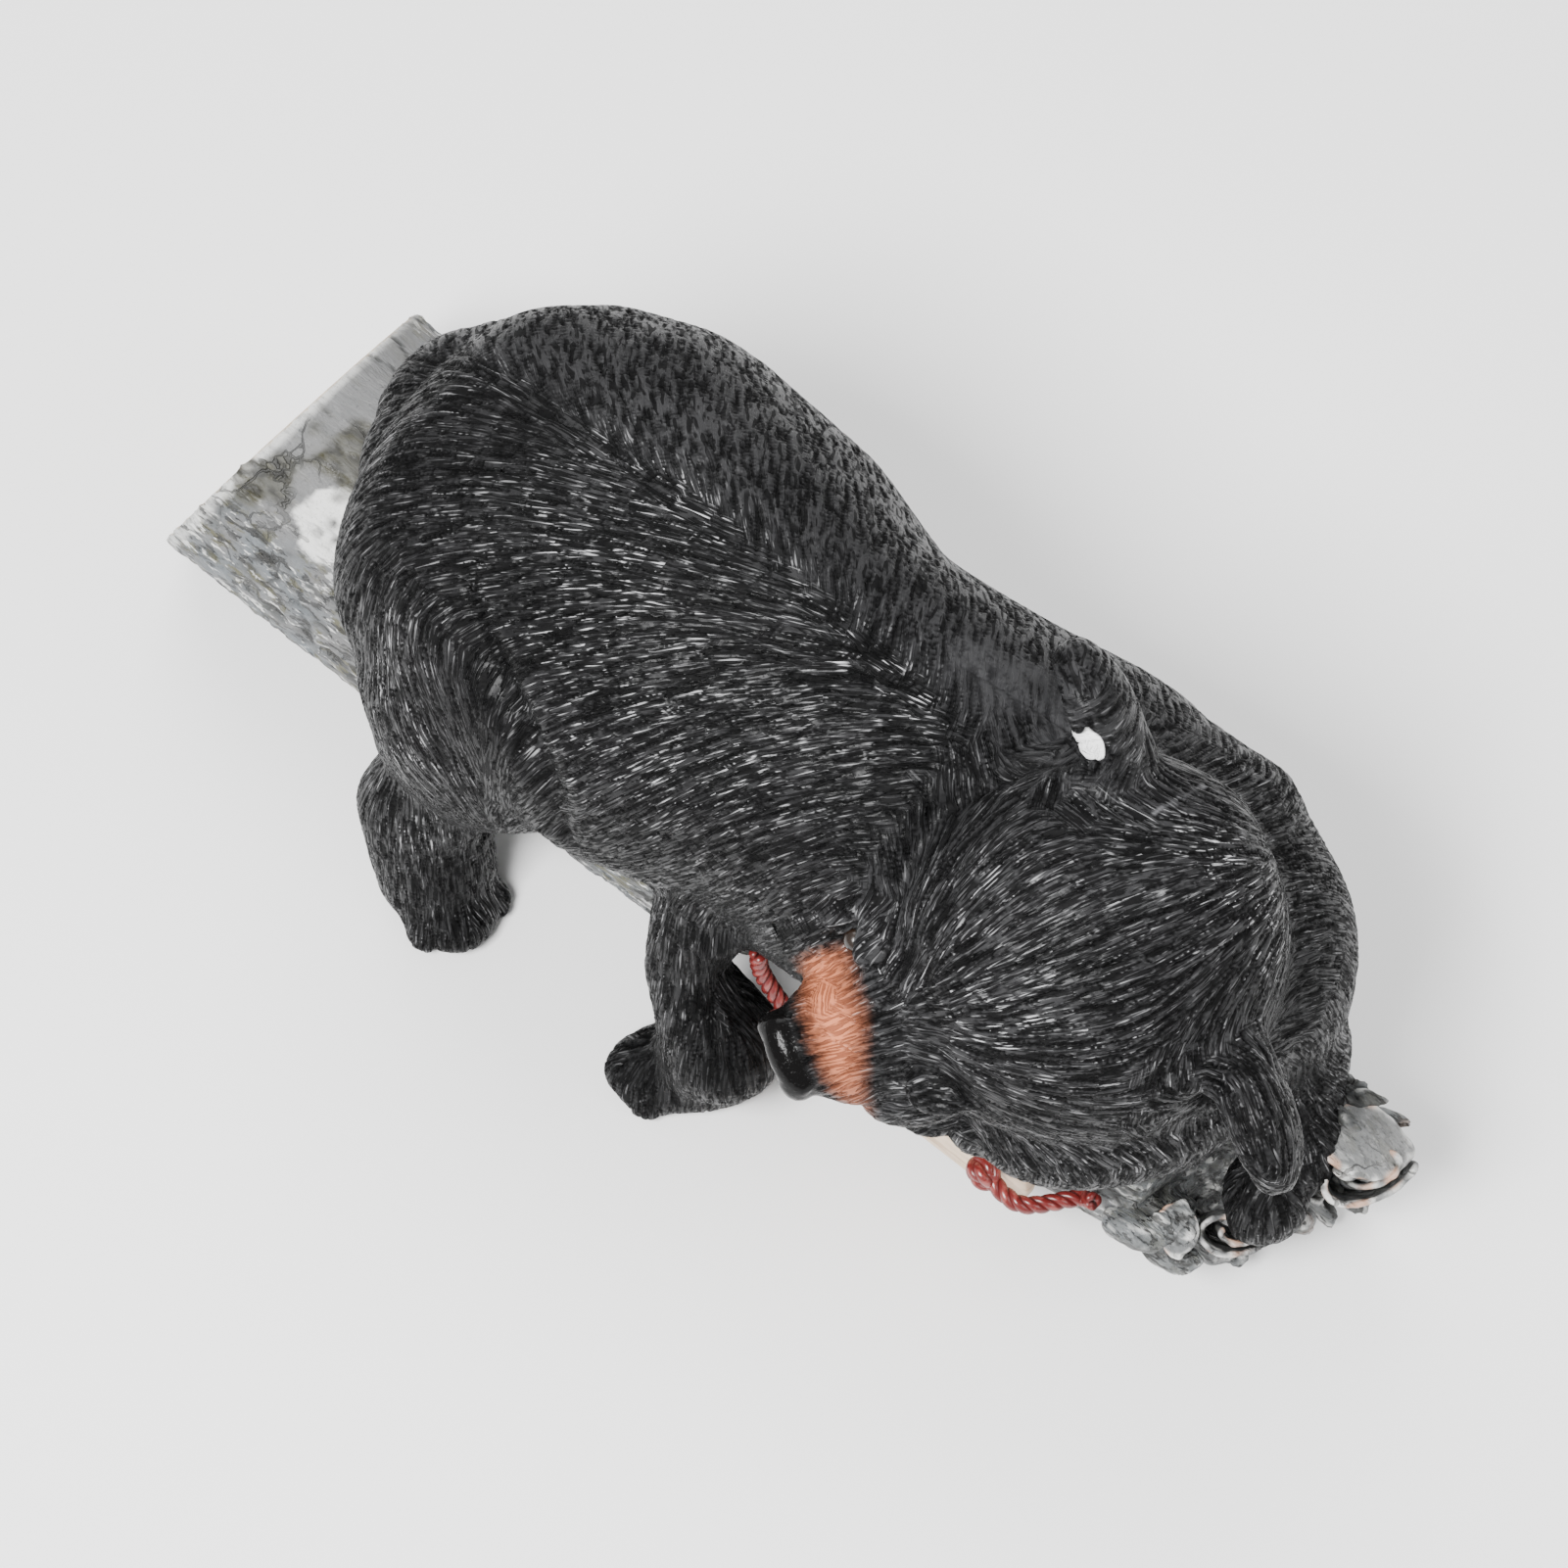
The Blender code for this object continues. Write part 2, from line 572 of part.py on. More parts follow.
def build_ropes(parts, cutters, material):
    """Both ends of the swag that holds the board."""
    knot_out = Vector((0.0, -(0.75 * KNOT_RADIUS + GAP), 0.0))
    left_knot = board_hole(-1) + knot_out
    right_knot = board_hole(1) + knot_out
    low = 0.5 * ROPE_DIAMETER + GAP
    end_x = 0.1195
    tied = Vector((end_x, log_side(end_x) - bark_radius(end_x, math.pi) - low, log_axis(end_x) + 0.001))
    build_rope("rope_left", [
        Vector((0.0338, -0.0406, 0.0642)),
        Vector((0.0342, -0.0402, 0.0570)),
        Vector((0.0385, -0.0396, 0.0475)),
        Vector((0.0465, -0.0395, 0.0385)),
        left_knot,
    ], parts, cutters, material)
    board_end = Vector((BOARD_X + 0.5 * BOARD_LENGTH + 0.001, board_face_y() - low - 0.001, 0.0))
    board_end.z = 0.5 * (tied.z + right_knot.z) - 0.0015
    build_rope("rope_right", [
        tied + Vector((0.003, 0.0, 0.004)),
        tied,
        board_end,
        right_knot,
    ], parts, cutters, material)


def build_model():
    """Clears the scene and builds the figurine."""
    for old in list(bpy.data.objects):
        bpy.data.objects.remove(old)
    parts = make_collection("resin_bear_figurine")
    cutters = make_collection("cutters")
    coat = make_material("black_coat", (0.030, 0.029, 0.030), 0.45)
    bark = make_material("birch_bark", (0.46, 0.47, 0.46), 0.70)
    wood = make_material("bare_board", (0.62, 0.48, 0.35), 0.60)
    red = make_material("red_rope", (0.29, 0.055, 0.05), 0.35)
    build_log(parts, cutters, bark)
    build_bear(parts, cutters, coat)
    build_board(parts, wood)
    build_ropes(parts, cutters, red)


build_model()
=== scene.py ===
"""Looks of the resin bear figurine: carved fur, birch bark, a bare board and laid rope.

Metres, +Z up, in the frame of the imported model: the log lies along +X and the bear's face looks to -Y.
"""

import logging
import math
from dataclasses import dataclass, field
from enum import Enum

import bpy
import numpy as np
from mathutils import Matrix, Vector, noise
from mathutils.geometry import tessellate_polygon
from mathutils.kdtree import KDTree


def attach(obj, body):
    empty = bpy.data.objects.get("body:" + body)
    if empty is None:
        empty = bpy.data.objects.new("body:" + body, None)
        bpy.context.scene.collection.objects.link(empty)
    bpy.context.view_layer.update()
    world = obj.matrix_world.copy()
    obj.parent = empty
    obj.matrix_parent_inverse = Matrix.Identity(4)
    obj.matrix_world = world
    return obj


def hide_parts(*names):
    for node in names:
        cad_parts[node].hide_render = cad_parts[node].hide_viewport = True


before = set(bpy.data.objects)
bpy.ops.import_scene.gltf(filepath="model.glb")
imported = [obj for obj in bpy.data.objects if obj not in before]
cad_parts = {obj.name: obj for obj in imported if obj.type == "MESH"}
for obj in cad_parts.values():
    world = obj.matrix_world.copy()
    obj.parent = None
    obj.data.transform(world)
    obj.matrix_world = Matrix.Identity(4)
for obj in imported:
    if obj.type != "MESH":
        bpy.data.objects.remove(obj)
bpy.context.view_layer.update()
LOG = logging.getLogger("bear_figurine")
MM = 0.001
MERGE_GAP = 0.01 * MM

Socket = bpy.types.NodeSocket
Input = Socket | float | tuple
Place = tuple[float, float, float]
Colour = tuple[float, float, float, float]

# Directions of the photo: towards the camera, and up in the picture
VIEWED = (0.294, -0.346, 0.891)
PHOTO_UP = np.array((-0.577, 0.6785, 0.454))


class Side(Enum):
    """The bear's own right and left."""

    RIGHT = -1
    LEFT = 1


# Mesh helpers


def deselect() -> None:
    """Leaves nothing selected or active in object mode."""
    if bpy.context.object and bpy.context.object.mode != "OBJECT":
        bpy.ops.object.mode_set(mode="OBJECT")
    bpy.ops.object.select_all(action="DESELECT")


def activate(piece: bpy.types.Object) -> None:
    """Selects one object alone and makes it active.

    Args:
        piece: The object.
    """
    deselect()
    piece.select_set(True)
    bpy.context.view_layer.objects.active = piece


def new_object(name: str, data: bpy.types.ID) -> bpy.types.Object:
    """Puts an object for some data in the scene.

    Args:
        name: The object's name.
        data: Its mesh, light or camera.

    Returns:
        The object.
    """
    piece = bpy.data.objects.new(name, data)
    bpy.context.scene.collection.objects.link(piece)
    return piece


def settle(piece: bpy.types.Object) -> None:
    """Applies an object's place, turn and scale to its mesh."""
    activate(piece)
    bpy.ops.object.transform_apply(location=True, rotation=True, scale=True)


def modify(piece: bpy.types.Object, kind: str, **values: object) -> None:
    """Adds a modifier and applies it.

    Args:
        piece: The object.
        kind: The modifier's type.
        values: Its settings.
    """
    activate(piece)
    modifier = piece.modifiers.new(kind.lower(), kind)
    for name, value in values.items():
        setattr(modifier, name, value)
    bpy.ops.object.modifier_apply(modifier=modifier.name)


def even_mesh(piece: bpy.types.Object, size: float, rounds: int) -> None:
    """Remeshes an object into even, slightly smoothed quads.

    Args:
        piece: The object.
        size: The quads' size.
        rounds: How many times it is smoothed.
    """
    modify(piece, "REMESH", mode="VOXEL", voxel_size=size, use_smooth_shade=True)
    modify(piece, "SMOOTH", factor=0.5, iterations=rounds)


def join(pieces: list[bpy.types.Object]) -> bpy.types.Object:
    """Joins objects into the first of them.

    Args:
        pieces: The objects.

    Returns:
        The joined object.
    """
    deselect()
    for piece in pieces:
        piece.select_set(True)
    bpy.context.view_layer.objects.active = pieces[0]
    bpy.ops.object.join()
    return pieces[0]


def solid_copy(node: str) -> bpy.types.Object:
    """A merged copy of a CAD node as a new object.

    Args:
        node: The node's name.

    Returns:
        The copy, at the origin.
    """
    copy = new_object(node + "_form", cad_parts[node].data.copy())
    activate(copy)
    bpy.ops.object.mode_set(mode="EDIT")
    bpy.ops.mesh.select_all(action="SELECT")
    bpy.ops.mesh.remove_doubles(threshold=MERGE_GAP)
    bpy.ops.object.mode_set(mode="OBJECT")
    copy.data.materials.clear()
    return copy


def ball(centre: Vector, radii: Place, turn: Matrix | None = None) -> bpy.types.Object:
    """An ellipsoid, with its place in its mesh.

    Args:
        centre: Its middle.
        radii: Its half sizes along its own axes.
        turn: Its axes as matrix columns.

    Returns:
        The object.
    """
    deselect()
    bpy.ops.mesh.primitive_uv_sphere_add(segments=28, ring_count=18, radius=1.0, location=centre)
    piece = bpy.context.object
    if turn:
        piece.rotation_euler = turn.to_euler()
    piece.scale = radii
    settle(piece)
    return piece


def vectors(items: bpy.types.bpy_prop_collection, name: str) -> np.ndarray:
    """One property of every item, as rows of three numbers.

    Args:
        items: The items, such as a mesh's vertices.
        name: The property's name.

    Returns:
        The rows.
    """
    flat = np.empty(len(items) * 3, dtype=np.float32)
    items.foreach_get(name, flat)
    return flat.reshape(-1, 3).astype(np.float64)


def vertex_points(mesh: bpy.types.Mesh) -> np.ndarray:
    """The vertices of a mesh as rows."""
    return vectors(mesh.vertices, "co")


def vertex_normals(mesh: bpy.types.Mesh) -> np.ndarray:
    """The vertex normals of a mesh as rows."""
    return vectors(mesh.vertex_normals, "vector")


def move_points(mesh: bpy.types.Mesh, points: np.ndarray) -> None:
    """Puts the vertices of a mesh at new places."""
    mesh.vertices.foreach_set("co", points.astype(np.float32).ravel())
    mesh.update()


def set_values(mesh: bpy.types.Mesh, values: dict[str, np.ndarray]) -> None:
    """Stores numbers per vertex as named attributes.

    Args:
        mesh: The mesh.
        values: Arrays by name.
    """
    for name, array in values.items():
        layer = mesh.attributes.new(name, "FLOAT", "POINT")
        layer.data.foreach_set("value", array.astype(np.float32))


def smoothstep(low: float, high: float, value: np.ndarray) -> np.ndarray:
    """Rises smoothly from 0 at low to 1 at high."""
    share = np.clip((value - low) / (high - low), 0.0, 1.0)
    return share * share * (3.0 - 2.0 * share)


def unit(rows: np.ndarray) -> np.ndarray:
    """Rows scaled to length 1."""
    return rows / np.maximum(np.linalg.norm(rows, axis=1, keepdims=True), 1e-9)


def in_surface(rows: np.ndarray, normals: np.ndarray) -> np.ndarray:
    """Rows without their part along the normals."""
    return rows - normals * np.sum(rows * normals, axis=1, keepdims=True)


def mix_rows(first: np.ndarray, second: np.ndarray, share: np.ndarray) -> np.ndarray:
    """Rows between two sets of rows."""
    return first * (1.0 - share[:, None]) + second * share[:, None]


def grain(points: np.ndarray, size: float | Place, shift: float = 0.0) -> np.ndarray:
    """Smooth noise, about -1 to 1, read at each row.

    Args:
        points: The places.
        size: The size of its lumps, the same or one for each axis.
        shift: Moves the pattern, for another one.

    Returns:
        One number per row.
    """
    scaled = points / np.array(size) + shift
    return np.array([noise.noise(row) for row in scaled.tolist()])


def glow(points: np.ndarray, centre: Place, reach: float) -> np.ndarray:
    """1 at a centre, falling smoothly to 0 away from it."""
    gap = np.linalg.norm(points - np.array(centre), axis=1) / reach
    return np.exp(-gap * gap)


def glows(points: np.ndarray, spots: tuple[tuple[Place, float], ...]) -> np.ndarray:
    """The glows round several places, each given with its reach, added up."""
    return sum(glow(points, place, reach) for place, reach in spots)


def along_line(points: np.ndarray, line: tuple[Place, ...]) -> np.ndarray:
    """How far each row is from a line through several places.

    Args:
        points: The rows.
        line: The places.

    Returns:
        One distance per row.
    """
    nearest = np.full(len(points), 1.0)
    for start, end in zip(line, line[1:]):
        first = np.array(start)
        step = np.array(end) - first
        share = np.clip((points - first) @ step / (step @ step), 0.0, 1.0)
        gap = np.linalg.norm(points - first - share[:, None] * step, axis=1)
        nearest = np.minimum(nearest, gap)
    return nearest


def search_tree(points: np.ndarray) -> KDTree:
    """A tree that finds the row nearest to a place.

    Args:
        points: The rows.

    Returns:
        The tree, whose numbers are the rows' numbers.
    """
    tree = KDTree(len(points))
    for index, row in enumerate(points.tolist()):
        tree.insert(row, index)
    tree.balance()
    return tree


# Materials


class Nodes:
    """Short ways to add and join shader nodes in one tree."""

    def __init__(self, tree: bpy.types.NodeTree) -> None:
        """Works on the given tree."""
        self.tree = tree

    def put(self, socket: Socket, value: Input) -> None:
        """Joins a socket to another one, or gives it a plain value.

        Args:
            socket: The input to fill.
            value: An output of a node, or a plain value.
        """
        if isinstance(value, Socket):
            self.tree.links.new(value, socket)
        else:
            socket.default_value = value

    def add(self, kind: str, values: dict | None = None, **settings: object) -> bpy.types.Node:
        """Adds a node.

        Args:
            kind: The node's type.
            values: Its input sockets by name or number.
            settings: Its own settings.

        Returns:
            The node.
        """
        node = self.tree.nodes.new(kind)
        for name, value in settings.items():
            setattr(node, name, value)
        for name, value in (values or {}).items():
            self.put(node.inputs[name], value)
        return node

    def math(self, operation: str, first: Input, second: Input = 0.0, clamp: bool = False) -> Socket:
        """The result of a Math node."""
        values = {0: first, 1: second}
        return self.add("ShaderNodeMath", values, operation=operation, use_clamp=clamp).outputs[0]

    def times(self, first: Input, second: Input, clamp: bool = False) -> Socket:
        """One value times another."""
        return self.math("MULTIPLY", first, second, clamp)

    def plus(self, first: Input, second: Input, clamp: bool = False) -> Socket:
        """The sum of two values."""
        return self.math("ADD", first, second, clamp)

    def minus(self, first: Input, second: Input, clamp: bool = False) -> Socket:
        """One value less another."""
        return self.math("SUBTRACT", first, second, clamp)

    def larger(self, first: Input, second: Input) -> Socket:
        """The larger of two values."""
        return self.math("MAXIMUM", first, second)

    def blend(self, first: Input, second: Input, share: Input) -> Socket:
        """A colour between two colours."""
        values = {0: share, 6: first, 7: second}
        return self.add("ShaderNodeMix", values, data_type="RGBA").outputs[2]

    def range(self, value: Input, low: float, high: float, to_low: float = 0.0,
              to_high: float = 1.0) -> Socket:
        """A value brought smoothly from one range to another."""
        values = {0: value, 1: low, 2: high, 3: to_low, 4: to_high}
        return self.add("ShaderNodeMapRange", values, interpolation_type="SMOOTHSTEP").outputs[0]

    def noise(self, place: Input, scale: float, detail: float = 2.0, rough: float = 0.5,
              flat: bool = False) -> Socket:
        """The value of a Noise Texture."""
        values = {"Vector": place, "Scale": scale, "Detail": detail, "Roughness": rough}
        return self.add("ShaderNodeTexNoise", values, noise_dimensions="2D" if flat else "3D").outputs["Fac"]

    def stretch(self, place: Input, scale: Place, shift: Place = (0.0, 0.0, 0.0)) -> Socket:
        """A place stretched and shifted by a Mapping node."""
        values = {"Vector": place, "Location": shift, "Scale": scale}
        return self.add("ShaderNodeMapping", values).outputs[0]

    def group(self, tree: bpy.types.NodeTree, values: dict[str, Input]) -> bpy.types.NodeOutputs:
        """The outputs of a node group with the given inputs."""
        return self.add("ShaderNodeGroup", values, node_tree=tree).outputs

    def bump(self, shader: bpy.types.Node, height: Socket, strength: float, depth: float) -> None:
        """Leans a shader's normals by a height."""
        node = self.add("ShaderNodeBump", {"Height": height, "Strength": strength, "Distance": depth})
        self.put(shader.inputs["Normal"], node.outputs[0])

    def attribute(self, name: str) -> Socket:
        """The number stored on the surface under a name."""
        return self.add("ShaderNodeAttribute", attribute_name=name).outputs["Fac"]

    def place(self) -> Socket:
        """Object coordinates."""
        return self.add("ShaderNodeTexCoord").outputs["Object"]


def new_material(name: str) -> tuple[bpy.types.Material, Nodes, bpy.types.Node]:
    """A material of its own.

    Args:
        name: The material's name.

    Returns:
        The material, its nodes and its Principled shader.
    """
    material = bpy.data.materials.new(name)
    material.use_nodes = True
    nodes = Nodes(material.node_tree)
    return material, nodes, material.node_tree.nodes["Principled BSDF"]


def new_group(name: str, inputs: dict[str, str], outputs: dict[str, str]) -> tuple[bpy.types.NodeTree, Nodes]:
    """An empty node group with named sockets.

    Args:
        name: The group's name.
        inputs: Socket types by name.
        outputs: Socket types by name.

    Returns:
        The group and its nodes.
    """
    tree = bpy.data.node_groups.new(name, "ShaderNodeTree")
    for socket, kind in inputs.items():
        tree.interface.new_socket(socket, in_out="INPUT", socket_type=kind)
    for socket, kind in outputs.items():
        tree.interface.new_socket(socket, in_out="OUTPUT", socket_type=kind)
    return tree, Nodes(tree)


FLOAT, VECTOR = "NodeSocketFloat", "NodeSocketVector"


# Patterns on the charts: scale, shift, detail, and where each one begins and is full
STROKES = {
    "Groove": ((0.15, 1.5, 1.0), (0.0, 0.0, 0.0), 1.0, (0.53, 0.45)),
    # The second pattern is painted highlights: short bright strokes glinting on the ridges
    "Glint": ((0.16, 2.1, 1.0), (31.0, 17.0, 0.0), 0.5, (0.63, 0.77)),
    "Slot": ((0.19, 0.92, 1.0), (11.0, 5.0, 0.0), 0.3, (0.45, 0.39)),
}


def stroke_group() -> bpy.types.NodeTree:
    """Fine strokes of the carving knife along the coat, and painted highlights along them, on two overlapping
    charts.

    Returns:
        The group, which puts out Groove, the painted highlights and Slot.
    """
    inputs = {"Chart A": VECTOR, "Chart B": VECTOR, "Share A": FLOAT}
    tree, nodes = new_group("knife_strokes", inputs, {name: FLOAT for name in STROKES})
    into, out = nodes.add("NodeGroupInput"), nodes.add("NodeGroupOutput")
    for name, (scale, shift, detail, limits) in STROKES.items():
        drawn = [nodes.noise(nodes.stretch(into.outputs[chart], scale, shift), 1.0, detail, 0.4, True)
                 for chart in ("Chart A", "Chart B")]
        first, second = (nodes.range(pattern, *limits) for pattern in drawn)
        values = {0: into.outputs["Share A"], 2: second, 3: first}
        nodes.put(out.inputs[name], nodes.add("ShaderNodeMix", values, data_type="FLOAT").outputs[0])
    return tree


def dust_group() -> bpy.types.NodeTree:
    """Cloudy stains and fine specks, by place.

    Returns:
        The group, which puts out Cloud and Speck.
    """
    tree, nodes = new_group("stains", {"Place": VECTOR, "Size": FLOAT}, {"Cloud": FLOAT, "Speck": FLOAT})
    into = nodes.add("NodeGroupInput")
    cloud = nodes.noise(into.outputs["Place"], 1.0, 4.0, 0.6)
    nodes.put(cloud.node.inputs["Scale"], into.outputs["Size"])
    speck = nodes.noise(into.outputs["Place"], 1400.0, 2.0, 0.7)
    out = nodes.add("NodeGroupOutput")
    nodes.put(out.inputs["Cloud"], nodes.range(cloud, 0.35, 0.65))
    nodes.put(out.inputs["Speck"], nodes.range(speck, 0.55, 0.75))
    return tree


@dataclass(frozen=True)
class CoatFinish:
    """Black painted fur, brushed with grey on its ridges, with a peach muzzle; painted highlights glint on
    the ridges, the left flank is painted a lighter grey for its flatter light, and painted shade darkens the
    hollows beside the ears.
    """

    black: Colour = (0.0006, 0.0006, 0.0007, 1.0)
    grey: Colour = (0.026, 0.026, 0.027, 1.0)
    painted_glint: Colour = (0.46, 0.46, 0.47, 1.0)
    peach: Colour = (0.50, 0.165, 0.080, 1.0)
    peach_dark: Colour = (0.075, 0.014, 0.006, 1.0)
    nose: Colour = (0.003, 0.0028, 0.0028, 1.0)
    worn: Colour = (0.85, 0.85, 0.85, 1.0)
    dusty: Colour = (0.10, 0.10, 0.105, 1.0)
    satin: float = 0.34
    matte: float = 0.66
    specular: float = 0.10
    depth: float = 0.5 * MM

    def make(self, strokes: bpy.types.NodeTree, stains: bpy.types.NodeTree) -> bpy.types.Material:
        """Builds the material.

        Args:
            strokes: The group of knife strokes.
            stains: The group of stains.

        Returns:
            The material.
        """
        material, nodes, shader = new_material("painted_fur")
        names = ("chart_a", "chart_b")
        chart_a, chart_b = (nodes.add("ShaderNodeUVMap", uv_map=name).outputs[0] for name in names)
        values = {"Chart A": chart_a, "Chart B": chart_b, "Share A": nodes.attribute("share_a")}
        cut = nodes.group(strokes, values)
        stain = nodes.group(stains, {"Place": nodes.place(), "Size": 45.0})
        hairy = nodes.minus(1.0, nodes.attribute("bare"), clamp=True)
        far, ridge = nodes.attribute("far"), nodes.attribute("ridge")
        fine = nodes.times(cut["Groove"], nodes.range(far, 0.0, 1.0, 1.0, 0.25))
        groove = nodes.times(nodes.larger(fine, nodes.times(cut["Slot"], far)), hairy)
        lit = nodes.times(ridge, nodes.minus(1.0, nodes.times(groove, 0.9)))
        # Grey brushed on the ridges, painted lighter on the left flank for its flatter light and darker by
        # the ears as painted shade
        colour = nodes.blend(self.black, self.grey, nodes.times(lit, nodes.attribute("brush_and_painted_light"), clamp=True))
        # Painted highlights: bright glints along the ridges, as strong as the shine mask allows
        glint = nodes.times(nodes.times(cut["Glint"], nodes.range(ridge, 0.45, 0.9)), hairy)
        vary = nodes.noise(nodes.stretch(chart_a, (0.10, 0.35, 1.0)), 1.0, 1.0, 0.5, flat=True)
        glint = nodes.times(glint, nodes.plus(nodes.times(nodes.range(vary, 0.3, 0.7), 0.9), 0.2))
        glint = nodes.times(glint, nodes.attribute("shine"), clamp=True)
        colour = nodes.blend(colour, self.painted_glint, glint)
        colour = nodes.blend(colour, self.dusty, nodes.attribute("dusty"))
        skin = nodes.blend(self.peach, self.peach_dark, nodes.times(groove, 0.6))
        colour = nodes.blend(colour, skin, nodes.attribute("muzzle"))
        nose = nodes.attribute("nose")
        colour = nodes.blend(colour, self.nose, nose)
        worn = nodes.range(nodes.attribute("worn"), 0.42, 0.52)
        nodes.put(shader.inputs["Base Color"], nodes.blend(colour, self.worn, worn))
        rough = nodes.range(groove, 0.0, 1.0, self.satin, self.matte)
        rough = nodes.minus(rough, nodes.times(nose, 0.22))
        nodes.put(shader.inputs["Roughness"], nodes.plus(rough, nodes.times(worn, 0.2), clamp=True))
        nodes.bump(shader, nodes.minus(nodes.times(stain["Speck"], 0.10), groove), 0.9, self.depth)
        shader.inputs["Specular IOR Level"].default_value = self.specular
        return material


@dataclass(frozen=True)
class BarkFinish:
    """Pale birch bark with dark cracks, moss and bluish streaks, and peach-rimmed broken wood, with painted
    shade in its hollows and painted highlights on its edges and crests.
    """

    pale: Colour = (0.125, 0.125, 0.125, 1.0)
    white: Colour = (0.66, 0.66, 0.64, 1.0)
    lichen: Colour = (0.072, 0.068, 0.030, 1.0)
    torn: Colour = (0.10, 0.105, 0.105, 1.0)
    ring: Colour = (0.36, 0.27, 0.18, 1.0)
    shade: Colour = (0.085, 0.09, 0.09, 1.0)
    crack_and_shade: Colour = (0.016, 0.016, 0.015, 1.0)
    moss: Colour = (0.026, 0.024, 0.008, 1.0)
    blue: Colour = (0.11, 0.127, 0.140, 1.0)
    peach: Colour = (0.52, 0.30, 0.20, 1.0)
    cut_wood: Colour = (0.54, 0.43, 0.29, 1.0)
    lying: Place = (0.30, 1.0, 1.0)
    satin: float = 0.40
    matte: float = 0.62
    depth: float = 1.1 * MM

    def make(self, stains: bpy.types.NodeTree) -> bpy.types.Material:
        """Builds the material.

        Args:
            stains: The group of stains.

        Returns:
            The material.
        """
        material, nodes, shader = new_material("painted_birch")
        place = nodes.place()
        stain = nodes.group(stains, {"Place": place, "Size": 70.0})
        rough = nodes.attribute("rough")
        streak = nodes.noise(nodes.stretch(place, (1.0, 4.0, 4.0)), 90.0, 5.0, 0.65)
        shade = nodes.times(nodes.range(streak, 0.44, 0.66), nodes.plus(nodes.times(rough, 0.8), 0.2))
        colour = nodes.blend(self.pale, self.shade, shade)
        colour = nodes.blend(colour, self.blue, nodes.times(nodes.times(stain["Cloud"], rough), 0.8))
        lichen = nodes.noise(nodes.stretch(place, (0.45, 1.0, 1.0), (0.1, 0.9, 0.3)), 230.0, 4.0, 0.65)
        lichen = nodes.times(nodes.range(lichen, 0.52, 0.60), nodes.range(rough, 0.0, 1.0, 0.10, 0.85))
        colour = nodes.blend(colour, self.lichen, lichen)
        flake = nodes.noise(nodes.stretch(place, self.lying, (0.7, 0.2, 0.4)), 560.0, 3.0, 0.6)
        chips = nodes.times(nodes.range(flake, 0.57, 0.64), nodes.times(rough, 0.8))
        colour = nodes.blend(colour, self.white, chips)
        colour = nodes.blend(colour, self.torn, nodes.times(nodes.attribute("torn"), 0.75))
        lime = nodes.times(nodes.attribute("white"), nodes.range(streak, 0.66, 0.5, 0.5, 1.0))
        colour = nodes.blend(colour, self.white, lime)
        moss = nodes.times(nodes.attribute("moss"), nodes.range(streak, 0.35, 0.6, 1.0, 0.55))
        colour = nodes.blend(colour, self.moss, moss)
        fibre = nodes.noise(nodes.stretch(place, self.lying), 560.0, 3.0, 0.6)
        fibre = nodes.times(nodes.range(fibre, 0.46, 0.39), nodes.range(rough, 0.0, 1.0, 0.04, 0.85))
        seams = self.seams(nodes, place)
        colour = nodes.blend(colour, self.crack_and_shade, nodes.larger(fibre, nodes.times(seams, 0.65)))
        colour = nodes.blend(colour, self.sawn_end(nodes), nodes.attribute("sawn"))
        colour = nodes.blend(colour, self.peach, nodes.attribute("peach"))
        # Dark cracks, with painted shade in the hollows of the bark and the broken wood
        colour = nodes.blend(colour, self.crack_and_shade, nodes.attribute("crack_and_shade"))
        colour = nodes.blend(colour, self.crack_and_shade, nodes.times(stain["Speck"], 0.45))
        nodes.put(shader.inputs["Base Color"], colour)
        nodes.put(shader.inputs["Roughness"], nodes.range(streak, 0.3, 0.7, self.satin, self.matte))
        height = nodes.plus(streak, nodes.times(flake, rough))
        nodes.bump(shader, nodes.minus(height, nodes.larger(fibre, seams)), 0.8, self.depth)
        return material

    def sawn_end(self, nodes: Nodes) -> Socket:
        """The colour of the cut wood with its rings.

        Args:
            nodes: The material's nodes.

        Returns:
            The colour.
        """
        wave = nodes.math("SINE", nodes.times(nodes.attribute("rounds"), 2.0 * math.pi))
        share = nodes.times(nodes.range(wave, -1.0, 1.0), nodes.attribute("ring"))
        return nodes.blend(self.cut_wood, self.ring, share)

    def seams(self, nodes: Nodes, place: Socket) -> Socket:
        """Thin dark seams between the bark's smooth plates.

        Args:
            nodes: The material's nodes.
            place: Object coordinates.

        Returns:
            The mask of the seams.
        """
        drift = nodes.add("ShaderNodeTexNoise", {"Vector": place, "Scale": 120.0, "Detail": 3.0})
        values = {0: drift.outputs["Color"], 1: (0.016, 0.016, 0.016), 2: place}
        bent = nodes.add("ShaderNodeVectorMath", values, operation="MULTIPLY_ADD").outputs[0]
        values = {"Vector": nodes.stretch(bent, (0.75, 1.0, 1.0)), "Scale": 60.0}
        gap = nodes.add("ShaderNodeTexVoronoi", values, feature="DISTANCE_TO_EDGE").outputs["Distance"]
        broken = nodes.range(nodes.noise(place, 60.0, 1.0), 0.44, 0.54)
        return nodes.times(nodes.range(gap, 0.028, 0.008), broken)


